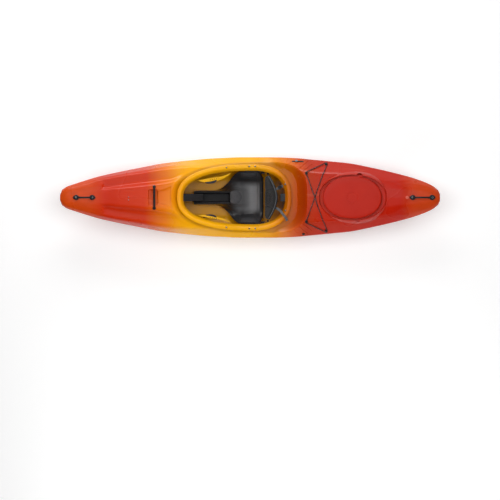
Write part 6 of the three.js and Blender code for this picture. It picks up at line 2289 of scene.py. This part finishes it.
for name, points in strapLook["lines"].items():
    line = openCurve([Vector(point) for point in points], strapLook["steps"])
    rows = []
    for i, point in enumerate(line):
        along = line[min(i + 1, len(line) - 1)] - line[max(i - 1, 0)]
        across = along.cross(upward).normalized() * strapLook["width"]
        rows.append([point + across * (k / 6 - 0.5) + upward * strapLook["lift"] for k in range(7)])
    strap = gridPiece(name + "_webbing", rows, strapLook["thick"])
    strap.data.materials.append(finishes["webbing"])
    tuple(line[6])
    tuple(line[-8])
    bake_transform(strap)
    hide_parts(name)
    flat = (strapLook["width"], round(lineLength(line), 3))

# a buckle behind the backband on the starboard strap, and two knobs on the backband's ends
buckleLook = {"size": (0.03, 0.028, 0.007), "frame": 0.005, "sunk": 0.0025, "rise": 0.004, "out": (0.15, 0, 1)}
buckle = addCube("strap_buckle", buckleLook["size"])
editFaces(buckle, facesUp)
bpy.ops.mesh.inset(thickness=buckleLook["frame"])
bpy.ops.mesh.extrude_region_move(TRANSFORM_OT_translate={"value": (0, 0, -buckleLook["sunk"])})
leaveEdit()
rounded(buckle, 0.0012, 3)
point, after = (Vector(place) for place in strapLook["lines"]["rear_strap_starboard"][1:3])
settle(buckle, basis(point + upward * buckleLook["rise"], (after - point).cross(upward), buckleLook["out"]))
dressPiece(buckle, "black_plastic", "backband")
for name, side in boatSides:
    across, up = side * band["knobPlace"][0], band["knobPlace"][1]
    out = bandOut(across, up)
    place = basis(bandPoint(across, up) - out * (band["pad"] + band["skin"]), (0, 1, 0), -out)
    turnedPiece("band_knob_" + name, band["knob"], 28, place, "black_plastic", "backband")

# ladder straps: teeth across a plain strap, kept to the frame's own outline
ladder = {"pitch": 0.0042, "tooth": (0.0018, 0.0011), "breadth": 0.76, "start": 0.006, "ends": 0.02, "inset": 0.0027}
for name, side in boatSides:
    node = "ladder_strap_" + name
    low, high = nodeBox(node)
    finished(node, node + "_finished", 0.0007)
    faceY = high.y if side > 0 else low.y
    size = (*ladder["tooth"], (high.z - low.z) * ladder["breadth"])
    teeth = []
    for k in range(int((high.x - low.x - ladder["ends"]) / ladder["pitch"])):
        x = low.x + ladder["start"] + k * ladder["pitch"]
        tooth = rounded(addCube("tooth", size), 0.0003, 1)
        teeth.append(settle(tooth, Matrix.Translation((x, faceY - side * ladder["inset"], (low.z + high.z) / 2))))
    dressPiece(join(node + "_teeth", teeth), "black_plastic", "backband")

smoothShade(finished("skeg_control_tube", "skeg_tube_finished", 0), 60)
bpy.data.objects.remove(insideRoom, do_unlink=True)

# pale floor that runs past every view; a little glow for the camera keeps it white round the shadow
reach, drop = studio["floorReach"], studio["floorDrop"]
corners = [(x * reach, y * reach, -drop) for x, y in ((-1, -1), (1, -1), (1, 1), (-1, 1))]
floorPiece = pieceFrom("floor", corners, [(0, 1, 2, 3)])
floorLook = {"Base Color": (*[studio["floorShade"]] * 3, 1), "Roughness": 0.9, "Specular IOR Level": 0.2}
floorMaterial, floorNodes, floorShader = startMaterial("floor", floorLook)[:3]
glow = floorNodes.nodes.new("ShaderNodeEmission")
seen = floorNodes.nodes.new("ShaderNodeLightPath").outputs
rays = mathNode(floorNodes, "MAXIMUM", seen["Is Camera Ray"], seen["Is Glossy Ray"])
rays = mathNode(floorNodes, "MAXIMUM", rays, seen["Is Transmission Ray"])
floorNodes.links.new(mathNode(floorNodes, "MULTIPLY", rays, studio["floorGlow"]), glow.inputs["Strength"])
added = floorNodes.nodes.new("ShaderNodeAddShader")
for i, output in enumerate((floorShader.outputs["BSDF"], glow.outputs["Emission"])):
    floorNodes.links.new(output, added.inputs[i])
floorNodes.links.new(added.outputs["Shader"], floorNodes.nodes["Material Output"].inputs["Surface"])
floorPiece.data.materials.append(floorMaterial)
